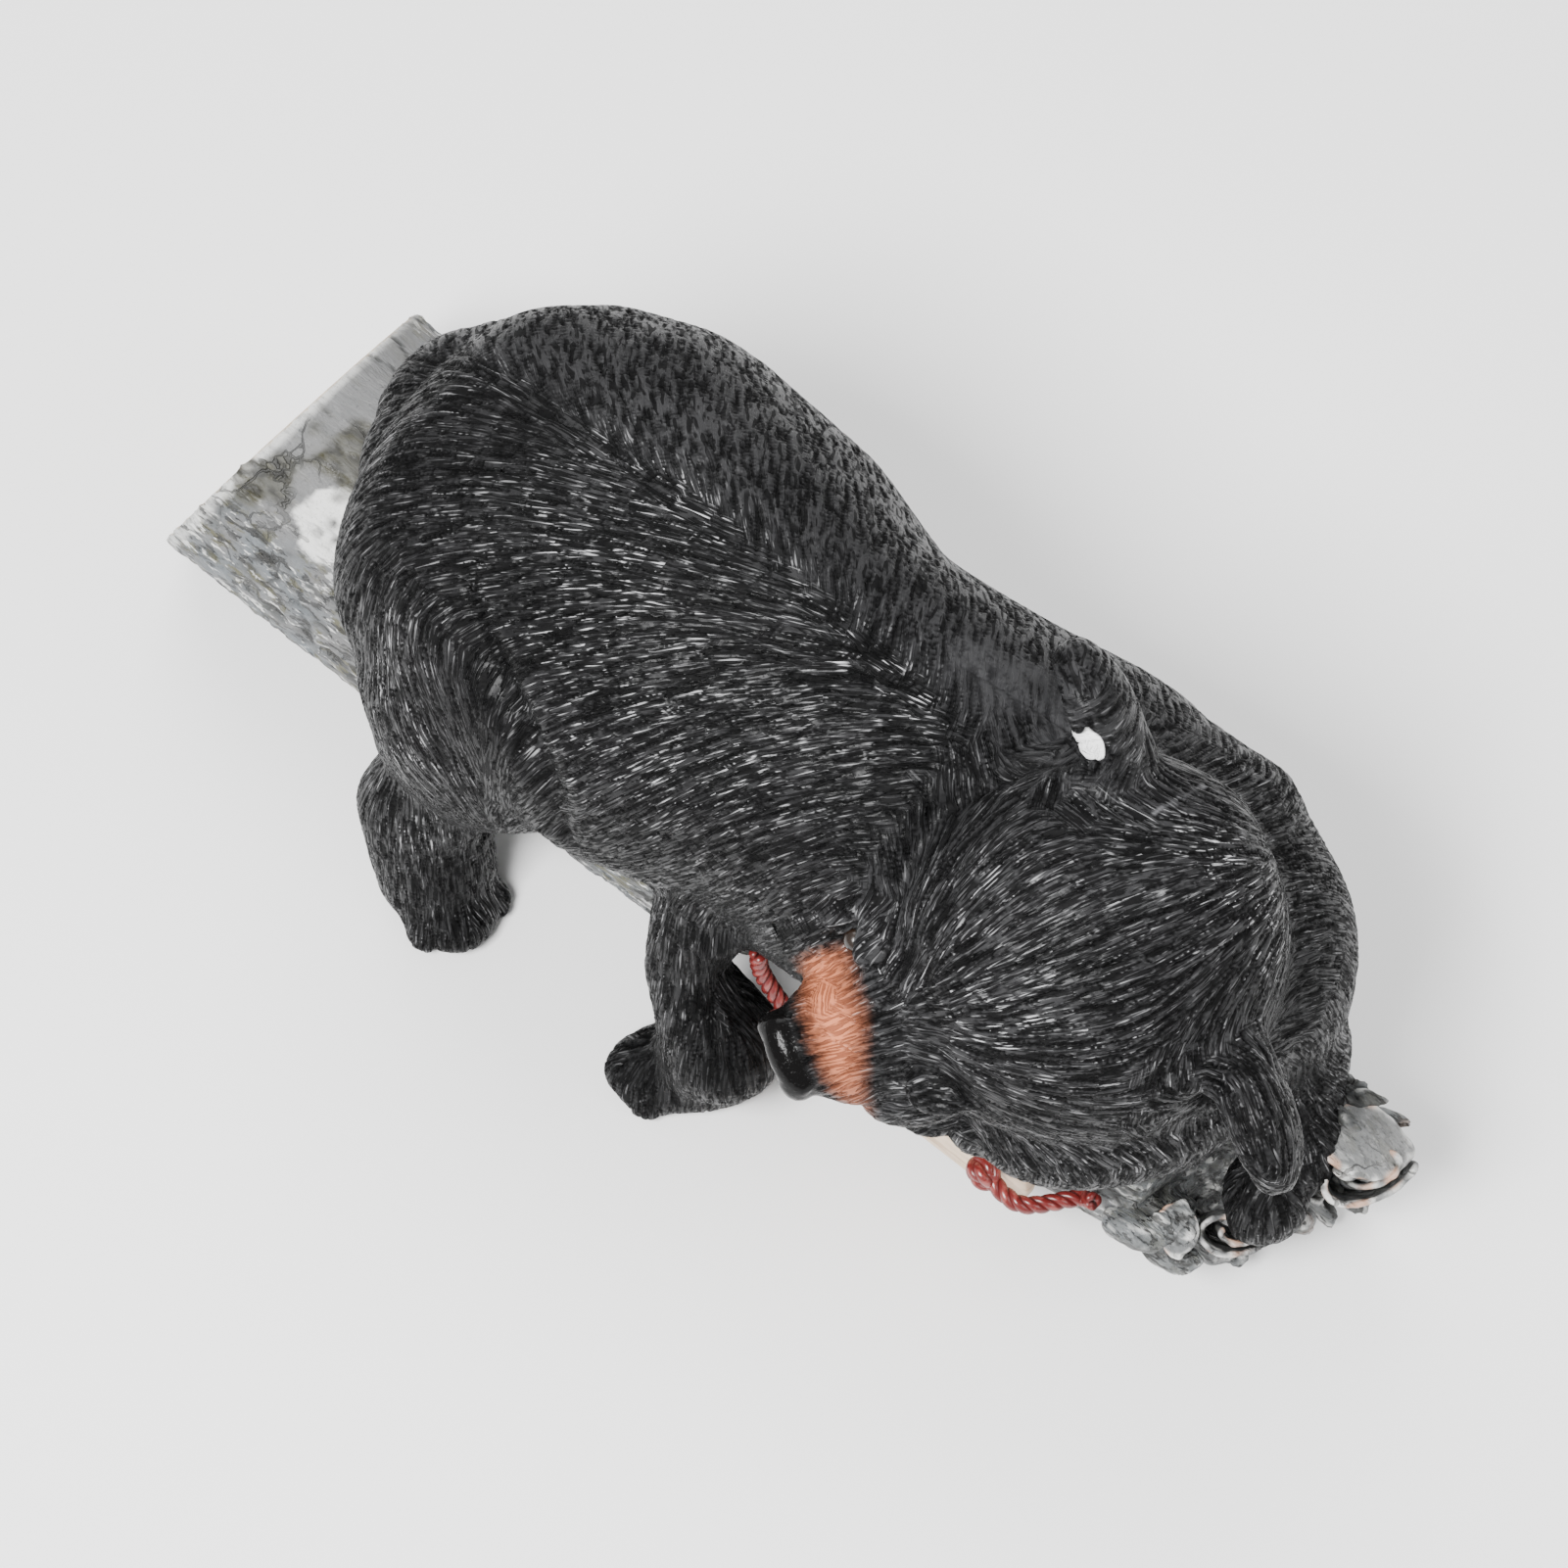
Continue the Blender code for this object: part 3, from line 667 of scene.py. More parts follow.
@dataclass(frozen=True)
class BoardFinish:
    """Tan painted wood with a darker grain."""

    tan: Colour = (0.64, 0.49, 0.35, 1.0)
    dark: Colour = (0.36, 0.23, 0.13, 1.0)

    def make(self, stains: bpy.types.NodeTree) -> bpy.types.Material:
        """Builds the material.

        Args:
            stains: The group of stains.

        Returns:
            The material.
        """
        material, nodes, shader = new_material("painted_board")
        place = nodes.place()
        cloud = nodes.group(stains, {"Place": place, "Size": 60.0})["Cloud"]
        lines = nodes.noise(nodes.stretch(place, (1.0, 1.0, 9.0)), 70.0, 4.0, 0.6)
        colour = nodes.blend(self.tan, self.dark, nodes.times(nodes.range(lines, 0.48, 0.70), 0.8))
        colour = nodes.blend(colour, self.dark, nodes.times(nodes.attribute("edge"), 0.6))
        nodes.put(shader.inputs["Base Color"], colour)
        nodes.put(shader.inputs["Roughness"], nodes.range(cloud, 0.0, 1.0, 0.42, 0.58))
        nodes.bump(shader, lines, 0.5, 0.5 * MM)
        return material


@dataclass(frozen=True)
class RopeFinish:
    """Glossy dark red paint, thin on the strands' crests."""

    red: Colour = (0.115, 0.012, 0.011, 1.0)
    pale: Colour = (0.26, 0.055, 0.048, 1.0)
    dark: Colour = (0.02, 0.002, 0.002, 1.0)

    def make(self, stains: bpy.types.NodeTree) -> bpy.types.Material:
        """Builds the material.

        Args:
            stains: The group of stains.

        Returns:
            The material.
        """
        material, nodes, shader = new_material("painted_rope")
        cloud = nodes.group(stains, {"Place": nodes.place(), "Size": 300.0})["Cloud"]
        crest = nodes.attribute("crest")
        colour = nodes.blend(self.dark, self.red, nodes.range(crest, 0.0, 0.45))
        thin = nodes.times(nodes.range(crest, 0.7, 1.0), nodes.range(cloud, 0.2, 0.8))
        nodes.put(shader.inputs["Base Color"], nodes.blend(colour, self.pale, nodes.times(thin, 0.7)))
        nodes.put(shader.inputs["Roughness"], nodes.range(crest, 0.0, 1.0, 0.5, 0.24))
        return material


@dataclass(frozen=True)
class EyeFinish:
    """Glossy dark paint with faint clouds."""

    dark: Colour = (0.004, 0.002, 0.001, 1.0)
    brown: Colour = (0.012, 0.006, 0.003, 1.0)
    gloss: float = 0.16
    satin: float = 0.28

    def make(self, stains: bpy.types.NodeTree) -> bpy.types.Material:
        """Builds the material.

        Args:
            stains: The group of stains.

        Returns:
            The material.
        """
        material, nodes, shader = new_material("glass_eye")
        cloud = nodes.group(stains, {"Place": nodes.place(), "Size": 260.0})["Cloud"]
        nodes.put(shader.inputs["Base Color"], nodes.blend(self.dark, self.brown, cloud))
        nodes.put(shader.inputs["Roughness"], nodes.range(cloud, 0.0, 1.0, self.gloss, self.satin))
        return material


# The bear


@dataclass
class HeadPlace:
    """Where the head is and how it is turned."""

    length: float = 0.104
    heading: float = math.radians(-126.4)
    pitch: float = math.radians(-20.4)
    roll: float = math.radians(-28.9)
    skull: Vector = field(default_factory=lambda: Vector((0.09861, -0.00684, 0.10820)))

    def axes(self) -> Matrix:
        """Forward, left and up as matrix columns.

        Returns:
            The matrix.
        """
        level_share = math.cos(self.pitch)
        forward = Vector((
            level_share * math.cos(self.heading),
            level_share * math.sin(self.heading),
            math.sin(self.pitch),
        ))
        level = Vector((-math.sin(self.heading), math.cos(self.heading), 0.0))
        left = level * math.cos(self.roll) + forward.cross(level) * math.sin(self.roll)
        return Matrix((forward, left, forward.cross(left))).transposed()

    def point(self, forward: float, left: float, up: float) -> Vector:
        """A place given in head lengths from the skull's middle."""
        return self.skull + self.axes() @ (Vector((forward, left, up)) * self.length)

    def shares(self, points: np.ndarray) -> np.ndarray:
        """Places in head lengths: forward, left and up as columns."""
        return (points - np.array(self.skull)) @ np.array(self.axes()) / self.length


# Finer forms of the face in head lengths: forward, left and up, and half sizes. Pairs repeat on the right
FACE_PAIRS = (((0.34, 0.165, 0.160), (0.104, 0.074, 0.034)), ((0.672, 0.052, 0.050), (0.045, 0.058, 0.056)))
FACE_FORMS = (
    ((0.662, 0.0, 0.085), (0.046, 0.098, 0.036)), ((0.40, 0.165, -0.03), (0.18, 0.098, 0.12)),
    ((0.0, 0.465, -0.20), (0.105, 0.090, 0.115)), ((0.34, 0.305, -0.13), (0.110, 0.080, 0.090)),
    ((0.44, 0.225, -0.11), (0.095, 0.075, 0.072)),
)

# Where the fur parts on the face, how far the head reaches, and the lips' height, in head lengths
FACE_MIDDLE = (0.36, 0.0, 0.16)
HEAD_REACH = (0.62, 0.54, 0.52)
LIPS = -0.085

# Where the fur parts on the shoulders
SHOULDER_MIDDLE = (0.112, 0.008, 0.125)

# Masses under the hide that soften its joins: rump, tail, paw
MASSES = (
    ((-0.091, 0.004, 0.106), (0.021, 0.024, 0.024)), ((-0.080, 0.008, 0.1115), (0.026, 0.028, 0.023)),
    ((-0.082, -0.008, 0.110), (0.024, 0.024, 0.022)), ((-0.110, 0.002, 0.092), (0.007, 0.008, 0.015)),
    ((0.1545, -0.0015, 0.0395), (0.0125, 0.0115, 0.0125)),
)

# Small corrections of the legs: place, reach and shift in millimetres
NUDGES = (
    ((-0.0346, -0.0530, 0.010), 0.011, (-1.5, -1.3, 0.0)),
    ((-0.0317, -0.0471, 0.055), 0.010, (-1.15, 1.36, 0.9)),
    ((-0.0694, -0.0610, 0.050), 0.014, (-1.4, -1.2, 0.0)),
    ((-0.0746, -0.0554, 0.075), 0.012, (1.5, 1.3, 0.0)),
    ((0.0119, -0.0633, 0.012), 0.014, (0.8, -0.9, 0.0)),
    ((0.0054, -0.0476, 0.040), 0.013, (0.9, 0.8, 0.0)),
)

# How far the left flank is drawn in, in millimetres, along X
FLANK = ((-0.110, -0.085, -0.060, -0.045, -0.015, 0.030, 0.050, 0.065, 0.082, 0.095, 0.108, 0.125),
         (1.2, 3.0, -0.6, -1.0, 2.1, 2.0, 1.5, 1.0, 2.4, 0.4, -3.0, -1.4))

# The closed lengths of the coat, from the rump forwards
SLABS = ("coat_rump", "coat_hips", "coat_barrel", "coat_shoulders", "coat_head")

# Folds of the hide: the line, its depth and its width
FOLDS = (
    (((-0.052, -0.041, 0.136), (-0.043, -0.046, 0.1315), (-0.030, -0.051, 0.125), (-0.019, -0.0545, 0.117),
      (-0.0127, -0.0565, 0.108), (-0.012, -0.056, 0.090)), 0.0040, 0.0046),
    (((0.076, 0.009, 0.142), (0.068, -0.004, 0.139), (0.063, -0.015, 0.136), (0.064, -0.025, 0.130),
      (0.066, -0.036, 0.121), (0.061, -0.043, 0.110)), 0.0016, 0.0022),
    (((0.0472, 0.0126, 0.1442), (0.0572, 0.0156, 0.1407), (0.0661, 0.0183, 0.1366), (0.0711, 0.0190, 0.1349)),
     0.0007, 0.0008),
    (((0.0646, 0.0033, 0.1392), (0.0689, 0.0115, 0.1376), (0.0715, 0.0168, 0.1363)), 0.0008, 0.0008),
    (((0.0718, -0.0376, 0.1232), (0.0804, -0.0430, 0.1216), (0.0886, -0.0478, 0.1161),
      (0.0964, -0.0509, 0.1072)), 0.0010, 0.0045),
)

# A smooth patch in front of the right ear
PATCH = ((0.0500, 0.0140, 0.1430), (0.0590, 0.0190, 0.1390), (0.0660, 0.0185, 0.1366))

# A pale scratch behind the right ear
SCRATCH = ((0.1010, 0.0100, 0.1471), (0.1022, 0.0190, 0.1425), (0.1028, 0.0262, 0.1375))

# Places with more painted highlights glinting on the ridges, with their reach
GLINT_SPOTS = (
    ((-0.020, -0.001, 0.155), 0.020), ((0.035, -0.001, 0.149), 0.016), ((-0.030, -0.030, 0.145), 0.022),
    ((0.010, -0.040, 0.135), 0.020), ((0.120, 0.014, 0.137), 0.012), ((0.131, 0.013, 0.130), 0.009),
    ((0.101, -0.040, 0.120), 0.016), ((-0.060, -0.055, 0.090), 0.014), ((0.082, 0.012, 0.168), 0.010),
    ((0.1131, 0.0141, 0.1427), 0.006), ((0.1355, 0.0117, 0.1238), 0.006), ((0.1275, 0.0136, 0.1335), 0.006),
)

# The chip on the right ear, and the hollows beside the ears darkened with painted shade, with their reach
CHIP = ((0.0839, 0.0072, 0.1604), 0.0044)
EAR_SHADE = (((0.1455, -0.0172, 0.0850), 0.008), ((0.0615, 0.0229, 0.1323), 0.006))


def close_rims(starts: np.ndarray, ends: np.ndarray, points: np.ndarray) -> np.ndarray:
    """Closes each open rim, which lies across the X axis, with triangles inside it.

    Args:
        starts: First vertex of each rim edge, in its face's order.
        ends: Second vertex of each rim edge.
        points: The vertices.

    Returns:
        The triangles.
    """
    follow: dict[int, list[int]] = {}
    for index, start in enumerate(starts.tolist()):
        follow.setdefault(start, []).append(index)
    left = set(range(len(starts)))
    middle = points[:, 0].mean()
    triangles = []
    while left:
        loop = [min(left)]
        left.discard(loop[0])
        while True:
            options = [edge for edge in follow.get(int(ends[loop[-1]]), []) if edge in left]
            if not options:
                break
            left.discard(options[0])
            loop.append(options[0])
        ring = starts[loop]
        flat = [Vector((y, z, 0.0)) for _, y, z in points[ring].tolist()]
        outwards = 1.0 if points[ring, 0].mean() > middle else -1.0
        for a, b, c in tessellate_polygon([flat]):
            turn = (flat[b] - flat[a]).cross(flat[c] - flat[a]).z * outwards
            triangles.append((ring[a], ring[b], ring[c]) if turn > 0.0 else (ring[a], ring[c], ring[b]))
    return np.array(triangles, dtype=np.int64).reshape(-1, 3)


@dataclass
class BearCoat:
    """The carved and painted bear, remeshed finely from its solid and cut with strokes along its fur."""

    material: bpy.types.Material
    grain_size: float = 0.70 * MM
    stroke_depth: float = 0.46 * MM
    stroke_width: float = 1.15 * MM
    stride: float = 1.25 * MM
    reach: int = 3
    chart_size: float = 9.0 * MM
    ridge_width: float = 16.0 * MM
    head: HeadPlace = field(default_factory=HeadPlace)

    def form(self) -> bpy.types.Object:
        """The bear's solid with finer facial forms, as one even mesh of small quads.

        Returns:
            The mesh object.
        """
        body = solid_copy("bear")
        modify(body, "SUBSURF", levels=2, render_levels=2)
        axes = self.head.axes()
        forms = [((f, side.value * l, u), radii) for side in Side for (f, l, u), radii in FACE_PAIRS]
        extras = [
            ball(self.head.point(*place), tuple(share * self.head.length for share in radii), axes)
            for place, radii in forms + list(FACE_FORMS)
        ]
        extras += [ball(Vector(place), radii) for place, radii in MASSES]
        whole = join([body] + extras)
        even_mesh(whole, self.grain_size, 6)
        return whole

    def reshape(self, points: np.ndarray) -> np.ndarray:
        """Moves the muzzle's right side, the left forearm, the left flank and the legs a little.

        Args:
            points: Places on the coat.

        Returns:
            The moved places.
        """
        forward, left, up = self.head.shares(points).T
        leftwards = np.array(self.head.axes())[:, 1]
        side = smoothstep(0.06, 0.16, -left) * smoothstep(0.36, 0.48, forward)
        side *= (np.abs(left) < 0.26) * (np.abs(up) < 0.26)
        drawn = points + leftwards[None, :] * (3.2 * MM * side)[:, None]
        arm = smoothstep(0.146, 0.160, points[:, 0]) * (1.0 - smoothstep(0.070, 0.100, points[:, 2]))
        drawn -= np.array((0.76, 0.40, 0.0)) * (5.0 * MM * arm)[:, None]
        flank = np.interp(points[:, 0], FLANK[0], FLANK[1]) * MM
        flank *= smoothstep(0.018, 0.042, points[:, 1]) * smoothstep(0.035, 0.060, points[:, 2])
        drawn -= PHOTO_UP * flank[:, None]
        for place, reach, shift in NUDGES:
            drawn += glow(points, place, reach)[:, None] * np.array(shift) * MM
        return drawn

    def trunk_lie(self, points: np.ndarray, normals: np.ndarray) -> np.ndarray:
        """The lie of the fur on the trunk: backwards, and down its sides.

        Args:
            points: Places on the coat.
            normals: Outward directions there.

        Returns:
            A row for each place.
        """
        y = points[:, 1]
        zero = np.zeros_like(y)
        near = 1.9 - 1.2 * smoothstep(0.1, 0.8, normals[:, 2])
        slope = np.where(y < 0.0, near, 1.6) * (1.0 - 0.5 * smoothstep(0.85, 1.0, normals[:, 2]))
        back = in_surface(np.stack((zero - 1.0, zero, zero - 0.25), axis=1), normals)
        side = np.clip(y / self.ridge_width, -1.0, 1.0)
        down = unit(in_surface(np.stack((zero, side, zero - 1.0), axis=1), normals))
        return back + down * slope[:, None]

    def head_lie(self, points: np.ndarray, flow: np.ndarray) -> np.ndarray:
        """Turns the lie of the fur outwards from the face and from the ears.

        Args:
            points: Places on the coat.
            flow: The lie of the fur without the head.

        Returns:
            A row for each place.
        """
        shares = self.head.shares(points)
        axes = np.array(self.head.axes())
        radial = unit((shares - np.array(FACE_MIDDLE)) @ axes.T)
        face = mix_rows(radial, -axes[:, 0][None, :], smoothstep(0.30, 0.42, shares[:, 0]))
        inside = np.linalg.norm(shares / np.array(HEAD_REACH), axis=1)
        flow = mix_rows(flow, face, 1.0 - smoothstep(0.86, 0.98, inside))
        for side in Side:
            centre = tuple(self.head.point(-0.18, side.value * 0.34, 0.10))
            ear = glow(points, centre, 0.22 * self.head.length)
            flow = mix_rows(flow, unit(points - np.array(centre)), ear)
        return flow

    def lie(self, points: np.ndarray, normals: np.ndarray) -> np.ndarray:
        """The way that the fur lies at each place.

        Args:
            points: Places on the coat.
            normals: Outward directions there.

        Returns:
            A unit row in the surface for each place.
        """
        x, y, z = points.T
        zero = np.zeros_like(x)
        side = np.clip(y / self.ridge_width, -1.0, 1.0)
        thigh = smoothstep(0.032, 0.044, -y) * smoothstep(0.012, 0.045, -x)
        thigh *= 1.0 - smoothstep(0.118, 0.138, z)
        thigh_down = np.stack((0.05 + 0.75 * smoothstep(0.085, 0.045, -x), zero, zero - 1.0), axis=1)
        leg_down = np.stack((zero + 0.12, 0.15 * side, zero - 1.0), axis=1)
        hind = (1.0 - smoothstep(0.055, 0.080, z)) * smoothstep(0.030, 0.040, np.abs(y)) * (x < -0.005)
        fore = (1.0 - smoothstep(0.070, 0.095, z)) * smoothstep(0.030, 0.038, -y) * (x > 0.0) * (x < 0.050)
        hang = (1.0 - smoothstep(0.055, 0.080, z)) * smoothstep(0.135, 0.150, x)
        flow = self.trunk_lie(points, normals)
        flow = mix_rows(flow, unit(in_surface(thigh_down, normals)) * 1.5, thigh)
        flow = mix_rows(flow, leg_down, np.clip(hind + fore + hang, 0.0, 1.0))
        outward = unit(points - np.array(SHOULDER_MIDDLE)) + np.array((0.0, 0.0, -0.35))
        shoulder = smoothstep(0.095, 0.125, x) * (1.0 - np.clip(hang, 0.0, 1.0))
        flow = mix_rows(flow, outward, shoulder)
        return unit(in_surface(self.head_lie(points, flow), normals))

    def streaks(self, points: np.ndarray, flow: np.ndarray) -> tuple[np.ndarray, np.ndarray]:
        """Random strokes drawn out along the fur.

        Args:
            points: Places on the coat.
            flow: The lie of the fur.

        Returns:
            Long and short strokes: one number per place each, about -1 to 1, low in a groove.
        """
        tree = search_tree(points)
        ahead = np.array([tree.find(row)[1] for row in (points + flow * self.stride).tolist()])
        behind = np.array([tree.find(row)[1] for row in (points - flow * self.stride).tolist()])
        seed = grain(points, self.stroke_width)
        total = seed.copy()
        forth = np.arange(len(points))
        back = forth.copy()
        short = seed
        for step in range(self.reach):
            forth, back = ahead[forth], behind[back]
            total += seed[forth] + seed[back]
            if step == 1:
                short = total.copy()
        return total / total.std() * 0.5, short / short.std() * 0.5

    def charts(self, points: np.ndarray, normals: np.ndarray, flow: np.ndarray, corners: np.ndarray,
               shift: float) -> tuple[np.ndarray, np.ndarray]:
        """Flat charts along the fur: millimetres along and across it, a patch at a time.

        Args:
            points: Places of the vertices.
            normals: Outward directions.
            flow: The lie of the fur.
            corners: Vertex numbers of the quads.
            shift: Where the patches' raster starts, so that two sets of charts overlap.

        Returns:
            Chart coordinates for each face corner, and how far inside its patch each vertex is.
        """
        cells = np.floor((points + shift) / self.chart_size).astype(np.int64)
        keys = cells @ np.array((1, 4096, 16777216))
        _, seeds = np.unique(keys, return_index=True)
        tree = search_tree(points[seeds])
        near = [tree.find_n(row, 2) for row in points.tolist()]
        inner = np.array([min((pair[1][2] - pair[0][2]) / (2.2 * MM), 1.0) for pair in near])
        owner = np.array([pair[0][1] for pair in near])[corners[:, 0]]
        across = np.cross(normals[seeds], flow[seeds])
        offset = points[corners] - points[seeds][owner][:, None, :]
        along = np.einsum("fck,fk->fc", offset, flow[seeds][owner]) / MM
        beside = np.einsum("fck,fk->fc", offset, across[owner]) / MM
        jump = (owner * 7.31) % 97.0
        return np.stack((along + jump[:, None], beside + jump[:, None] * 1.7), axis=2), inner

    def build(self) -> list[bpy.types.Object]:
        """Makes the coat in closed pieces.

        Returns:
            The pieces.
        """
        whole = self.form()
        mesh = whole.data
        points, normals = vertex_points(mesh), vertex_normals(mesh)
        flat = np.empty(len(mesh.loops), dtype=np.int32)
        mesh.loops.foreach_get("vertex_index", flat)
        corners = flat.reshape(-1, 4).astype(np.int64)
        LOG.info("coat form: %d vertices, %d quads", len(points), len(corners))
        points = self.reshape(points)
        flow = self.lie(points, normals)
        long, short = self.streaks(points, flow)
        far = self.far_side(points, normals)
        stroke = long * (1.0 - far) + short * far
        values = self.masks(points, stroke, far)
        chart_a, inner = self.charts(points, normals, flow, corners, 1.0)
        chart_b, _ = self.charts(points, normals, flow, corners, 1.0 + 0.5 * self.chart_size)
        values["share_a"] = inner
        points = self.carve(points, normals, stroke, values)
        move_points(mesh, points)
        normals = vertex_normals(mesh)
        middles = points[corners, 0].mean(axis=1)
        limits = np.quantile(middles, np.linspace(0.0, 1.0, len(SLABS) + 1)[1:-1])
        slab = np.searchsorted(limits, middles)
        pieces = []
        for number, name in enumerate(SLABS):
            own = slab == number
            charts = {"chart_a": chart_a[own], "chart_b": chart_b[own]}
            pieces.append(self.cut_piece(name, points, normals, corners[own], charts, values))
        bpy.data.objects.remove(whole)
        for piece in pieces:
            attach(piece, "root")
            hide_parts("bear")
            LOG.info("%s: %d faces", piece.name, len(piece.data.polygons))
        return pieces

    def carve(self, points: np.ndarray, normals: np.ndarray, stroke: np.ndarray, values: dict) -> np.ndarray:
        """Cuts the strokes, the folds and the mouth.

        Args:
            points: Places on the coat.
            normals: Outward directions there.
            stroke: The stroke value.
            values: What the paint needs to know of each place.

        Returns:
            The places after the cuts, none below the ground.
        """
        pitted = 1.0 - smoothstep(-0.75, -0.10, stroke)
        swell = smoothstep(0.0, 1.0, stroke) * (1.0 - 0.6 * values["far"])
        depth = self.stroke_depth * (1.0 - 0.92 * values["bare"]) * (1.0 - 0.5 * values["muzzle"])
        rise = depth * (0.35 * swell - pitted) - self.folds(points)
        moved = points + normals * rise[:, None]
        moved[:, 2] = np.maximum(moved[:, 2], 0.0)
        return moved

    def far_side(self, points: np.ndarray, normals: np.ndarray) -> np.ndarray:
        """1 on the left flank, where the strokes are short slots in a smoother coat."""
        behind = 1.0 - smoothstep(0.075, 0.105, points[:, 0])
        return smoothstep(-0.002, 0.012, points[:, 1]) * smoothstep(-0.5, 0.2, normals[:, 2]) * behind

    def mouth(self, shares: np.ndarray) -> np.ndarray:
        """The mouth's line and the line from it up to the nose.

        Args:
            shares: Places in head lengths.

        Returns:
            1 in the lines, falling to 0 beside them.
        """
        forward, left, up = shares.T
        lips = np.exp(-((up - LIPS) / 0.010) ** 2) * smoothstep(0.44, 0.52, forward)
        lips *= (left < 0.24) * (left > -0.17)
        middle = np.exp(-(left / 0.008) ** 2) * smoothstep(0.60, 0.63, forward) * (up > LIPS) * (up < 0.01)
        return np.maximum(lips, middle)

    def folds(self, points: np.ndarray) -> np.ndarray:
        """How deep the folds of the hide, the mouth and the nostrils cut in.

        Args:
            points: Places on the coat.

        Returns:
            One depth for each place.
        """
        shares = self.head.shares(points)
        fold = 1.3 * MM * self.mouth(shares)
        for side in Side:
            fold += 1.6 * MM * glow(shares, (0.715, side.value * 0.045, 0.045), 0.026)
        for line, depth, width in FOLDS:
            gap = along_line(points, line) / width
            fold += depth * np.exp(-gap * gap)
        return fold

    def snout(self, shares: np.ndarray, stroke: np.ndarray) -> tuple[np.ndarray, np.ndarray]:
        """The peach muzzle and the black nose.

        Args:
            shares: Places in head lengths.
            stroke: The stroke value, which frays the muzzle's edge.

        Returns:
            Two masks: the muzzle, and the nose with the mouth.
        """
        forward, left, up = shares.T
        front = (left / 0.235) ** 2 + ((up + 0.02) / 0.245) ** 2 < 1.0
        edge = 0.009 * stroke
        behind = forward - 0.50 * np.maximum(left + 0.02, 0.0) + edge
        muzzle = smoothstep(0.430, 0.535, behind) * (1.0 - smoothstep(0.535, 0.625, forward - edge)) * front
        muzzle *= smoothstep(-0.190, -0.140, left + edge)
        nose = smoothstep(0.625, 0.640, forward) * smoothstep(-0.02, 0.0, up) * front
        return muzzle, np.maximum(nose, 0.85 * self.mouth(shares))

    def masks(self, points: np.ndarray, stroke: np.ndarray, far: np.ndarray) -> dict:
        """What the paint needs to know of each place.

        Args:
            points: Places on the coat.
            stroke: The stroke value.
            far: 1 on the left flank.

        Returns:
            Named arrays.
        """
        shares = self.head.shares(points)
        muzzle, nose = self.snout(shares, stroke)
        soles = 1.0 - smoothstep(0.001, 0.004, points[:, 2])
        patches = 0.5 + 0.5 * grain(points, 24.0 * MM, 5.0)
        on_head = smoothstep(0.62, 0.48, np.linalg.norm(shares, axis=1))
        # Grey brushing, varied at random and greyer on the head; the left flank's extra grey is painted light
        # standing in for its flatter light
        brush_and_painted_light = np.clip(0.55 + 0.45 * far + 0.9 * (patches - 0.5), 0.1, 1.5) + 0.35 * on_head
        # Painted shade: less grey brushing in the hollows beside the ears
        brush_and_painted_light *= 1.0 - 0.8 * np.clip(glows(points, EAR_SHADE), 0.0, 1.0)
        # Painted highlights: more glints at the listed spots and on the head, almost none on the left flank
        lift = glows(points, GLINT_SPOTS) + 0.12 * on_head
        shine = np.clip((0.26 + 1.2 * (patches - 0.45) + 0.9 * lift) * (1.0 - 0.93 * far), 0.0, 1.3)
        smooth = smoothstep(0.012, 0.004, along_line(points, PATCH))
        smooth *= smoothstep(-0.3, 0.3, grain(points, 7 * MM) + 0.2)
        scratch = 1.0 - smoothstep(0.0003, 0.0007, along_line(points, SCRATCH))
        bare = np.clip(nose + soles, 0.0, 1.0) + 0.75 * smooth + scratch
        return {
            "muzzle": muzzle, "nose": nose, "brush_and_painted_light": brush_and_painted_light, "shine": shine, "far": far,
            "ridge": smoothstep(-0.75, 0.35, stroke),
            "worn": glow(points, *CHIP) + 0.26 * grain(points, 2.6 * MM),
            "bare": np.clip(bare, 0.0, 1.0),
            "dusty": np.clip(0.12 * smooth + scratch, 0.0, 1.0),
        }

    def cut_piece(self, name: str, points: np.ndarray, normals: np.ndarray, corners: np.ndarray,
                  charts: dict[str, np.ndarray], values: dict[str, np.ndarray]) -> bpy.types.Object:
        """A part of the coat as an object of its own, closed inside.

        Args:
            name: The piece's name.
            points: All vertices.
            normals: All vertex normals.
            corners: The piece's quads.
            charts: Its charts by name.
            values: Named numbers per vertex.

        Returns:
            The object.
        """
        used, local = np.unique(corners, return_inverse=True)
        quads = local.reshape(corners.shape)
        starts, ends = quads.ravel(), np.roll(quads, -1, axis=1).ravel()
        low, high = np.minimum(starts, ends), np.maximum(starts, ends)
        _, where, count = np.unique(low * len(used) + high, return_index=True, return_counts=True)
        rim = where[count == 1]
        places = points[used]
        triangles = close_rims(starts[rim], ends[rim], places)
        loops = np.concatenate([quads.ravel(), triangles.ravel()])
        totals = np.concatenate([np.full(len(quads), 4), np.full(len(triangles), 3)])
        firsts = np.concatenate([[0], np.cumsum(totals)[:-1]])
        mesh = bpy.data.meshes.new(name)
        mesh.vertices.add(len(places))
        move_points(mesh, places)
        mesh.loops.add(len(loops))
        mesh.loops.foreach_set("vertex_index", loops.astype(np.int32))
        mesh.polygons.add(len(totals))
        mesh.polygons.foreach_set("loop_start", firsts.astype(np.int32))
        mesh.polygons.foreach_set("loop_total", totals.astype(np.int32))
        mesh.polygons.foreach_set("use_smooth", np.ones(len(totals), dtype=bool))
        mesh.update(calc_edges=True)
        spare = np.zeros((len(triangles) * 3, 2))
        for layer, chart in charts.items():
            flat = np.vstack([chart.reshape(-1, 2), spare]).astype(np.float32)
            mesh.uv_layers.new(name=layer).uv.foreach_set("vector", flat.ravel())
        set_values(mesh, {key: array[used] for key, array in values.items()})
        mesh.normals_split_custom_set_from_vertices(normals[used].tolist())
        mesh.materials.append(self.material)
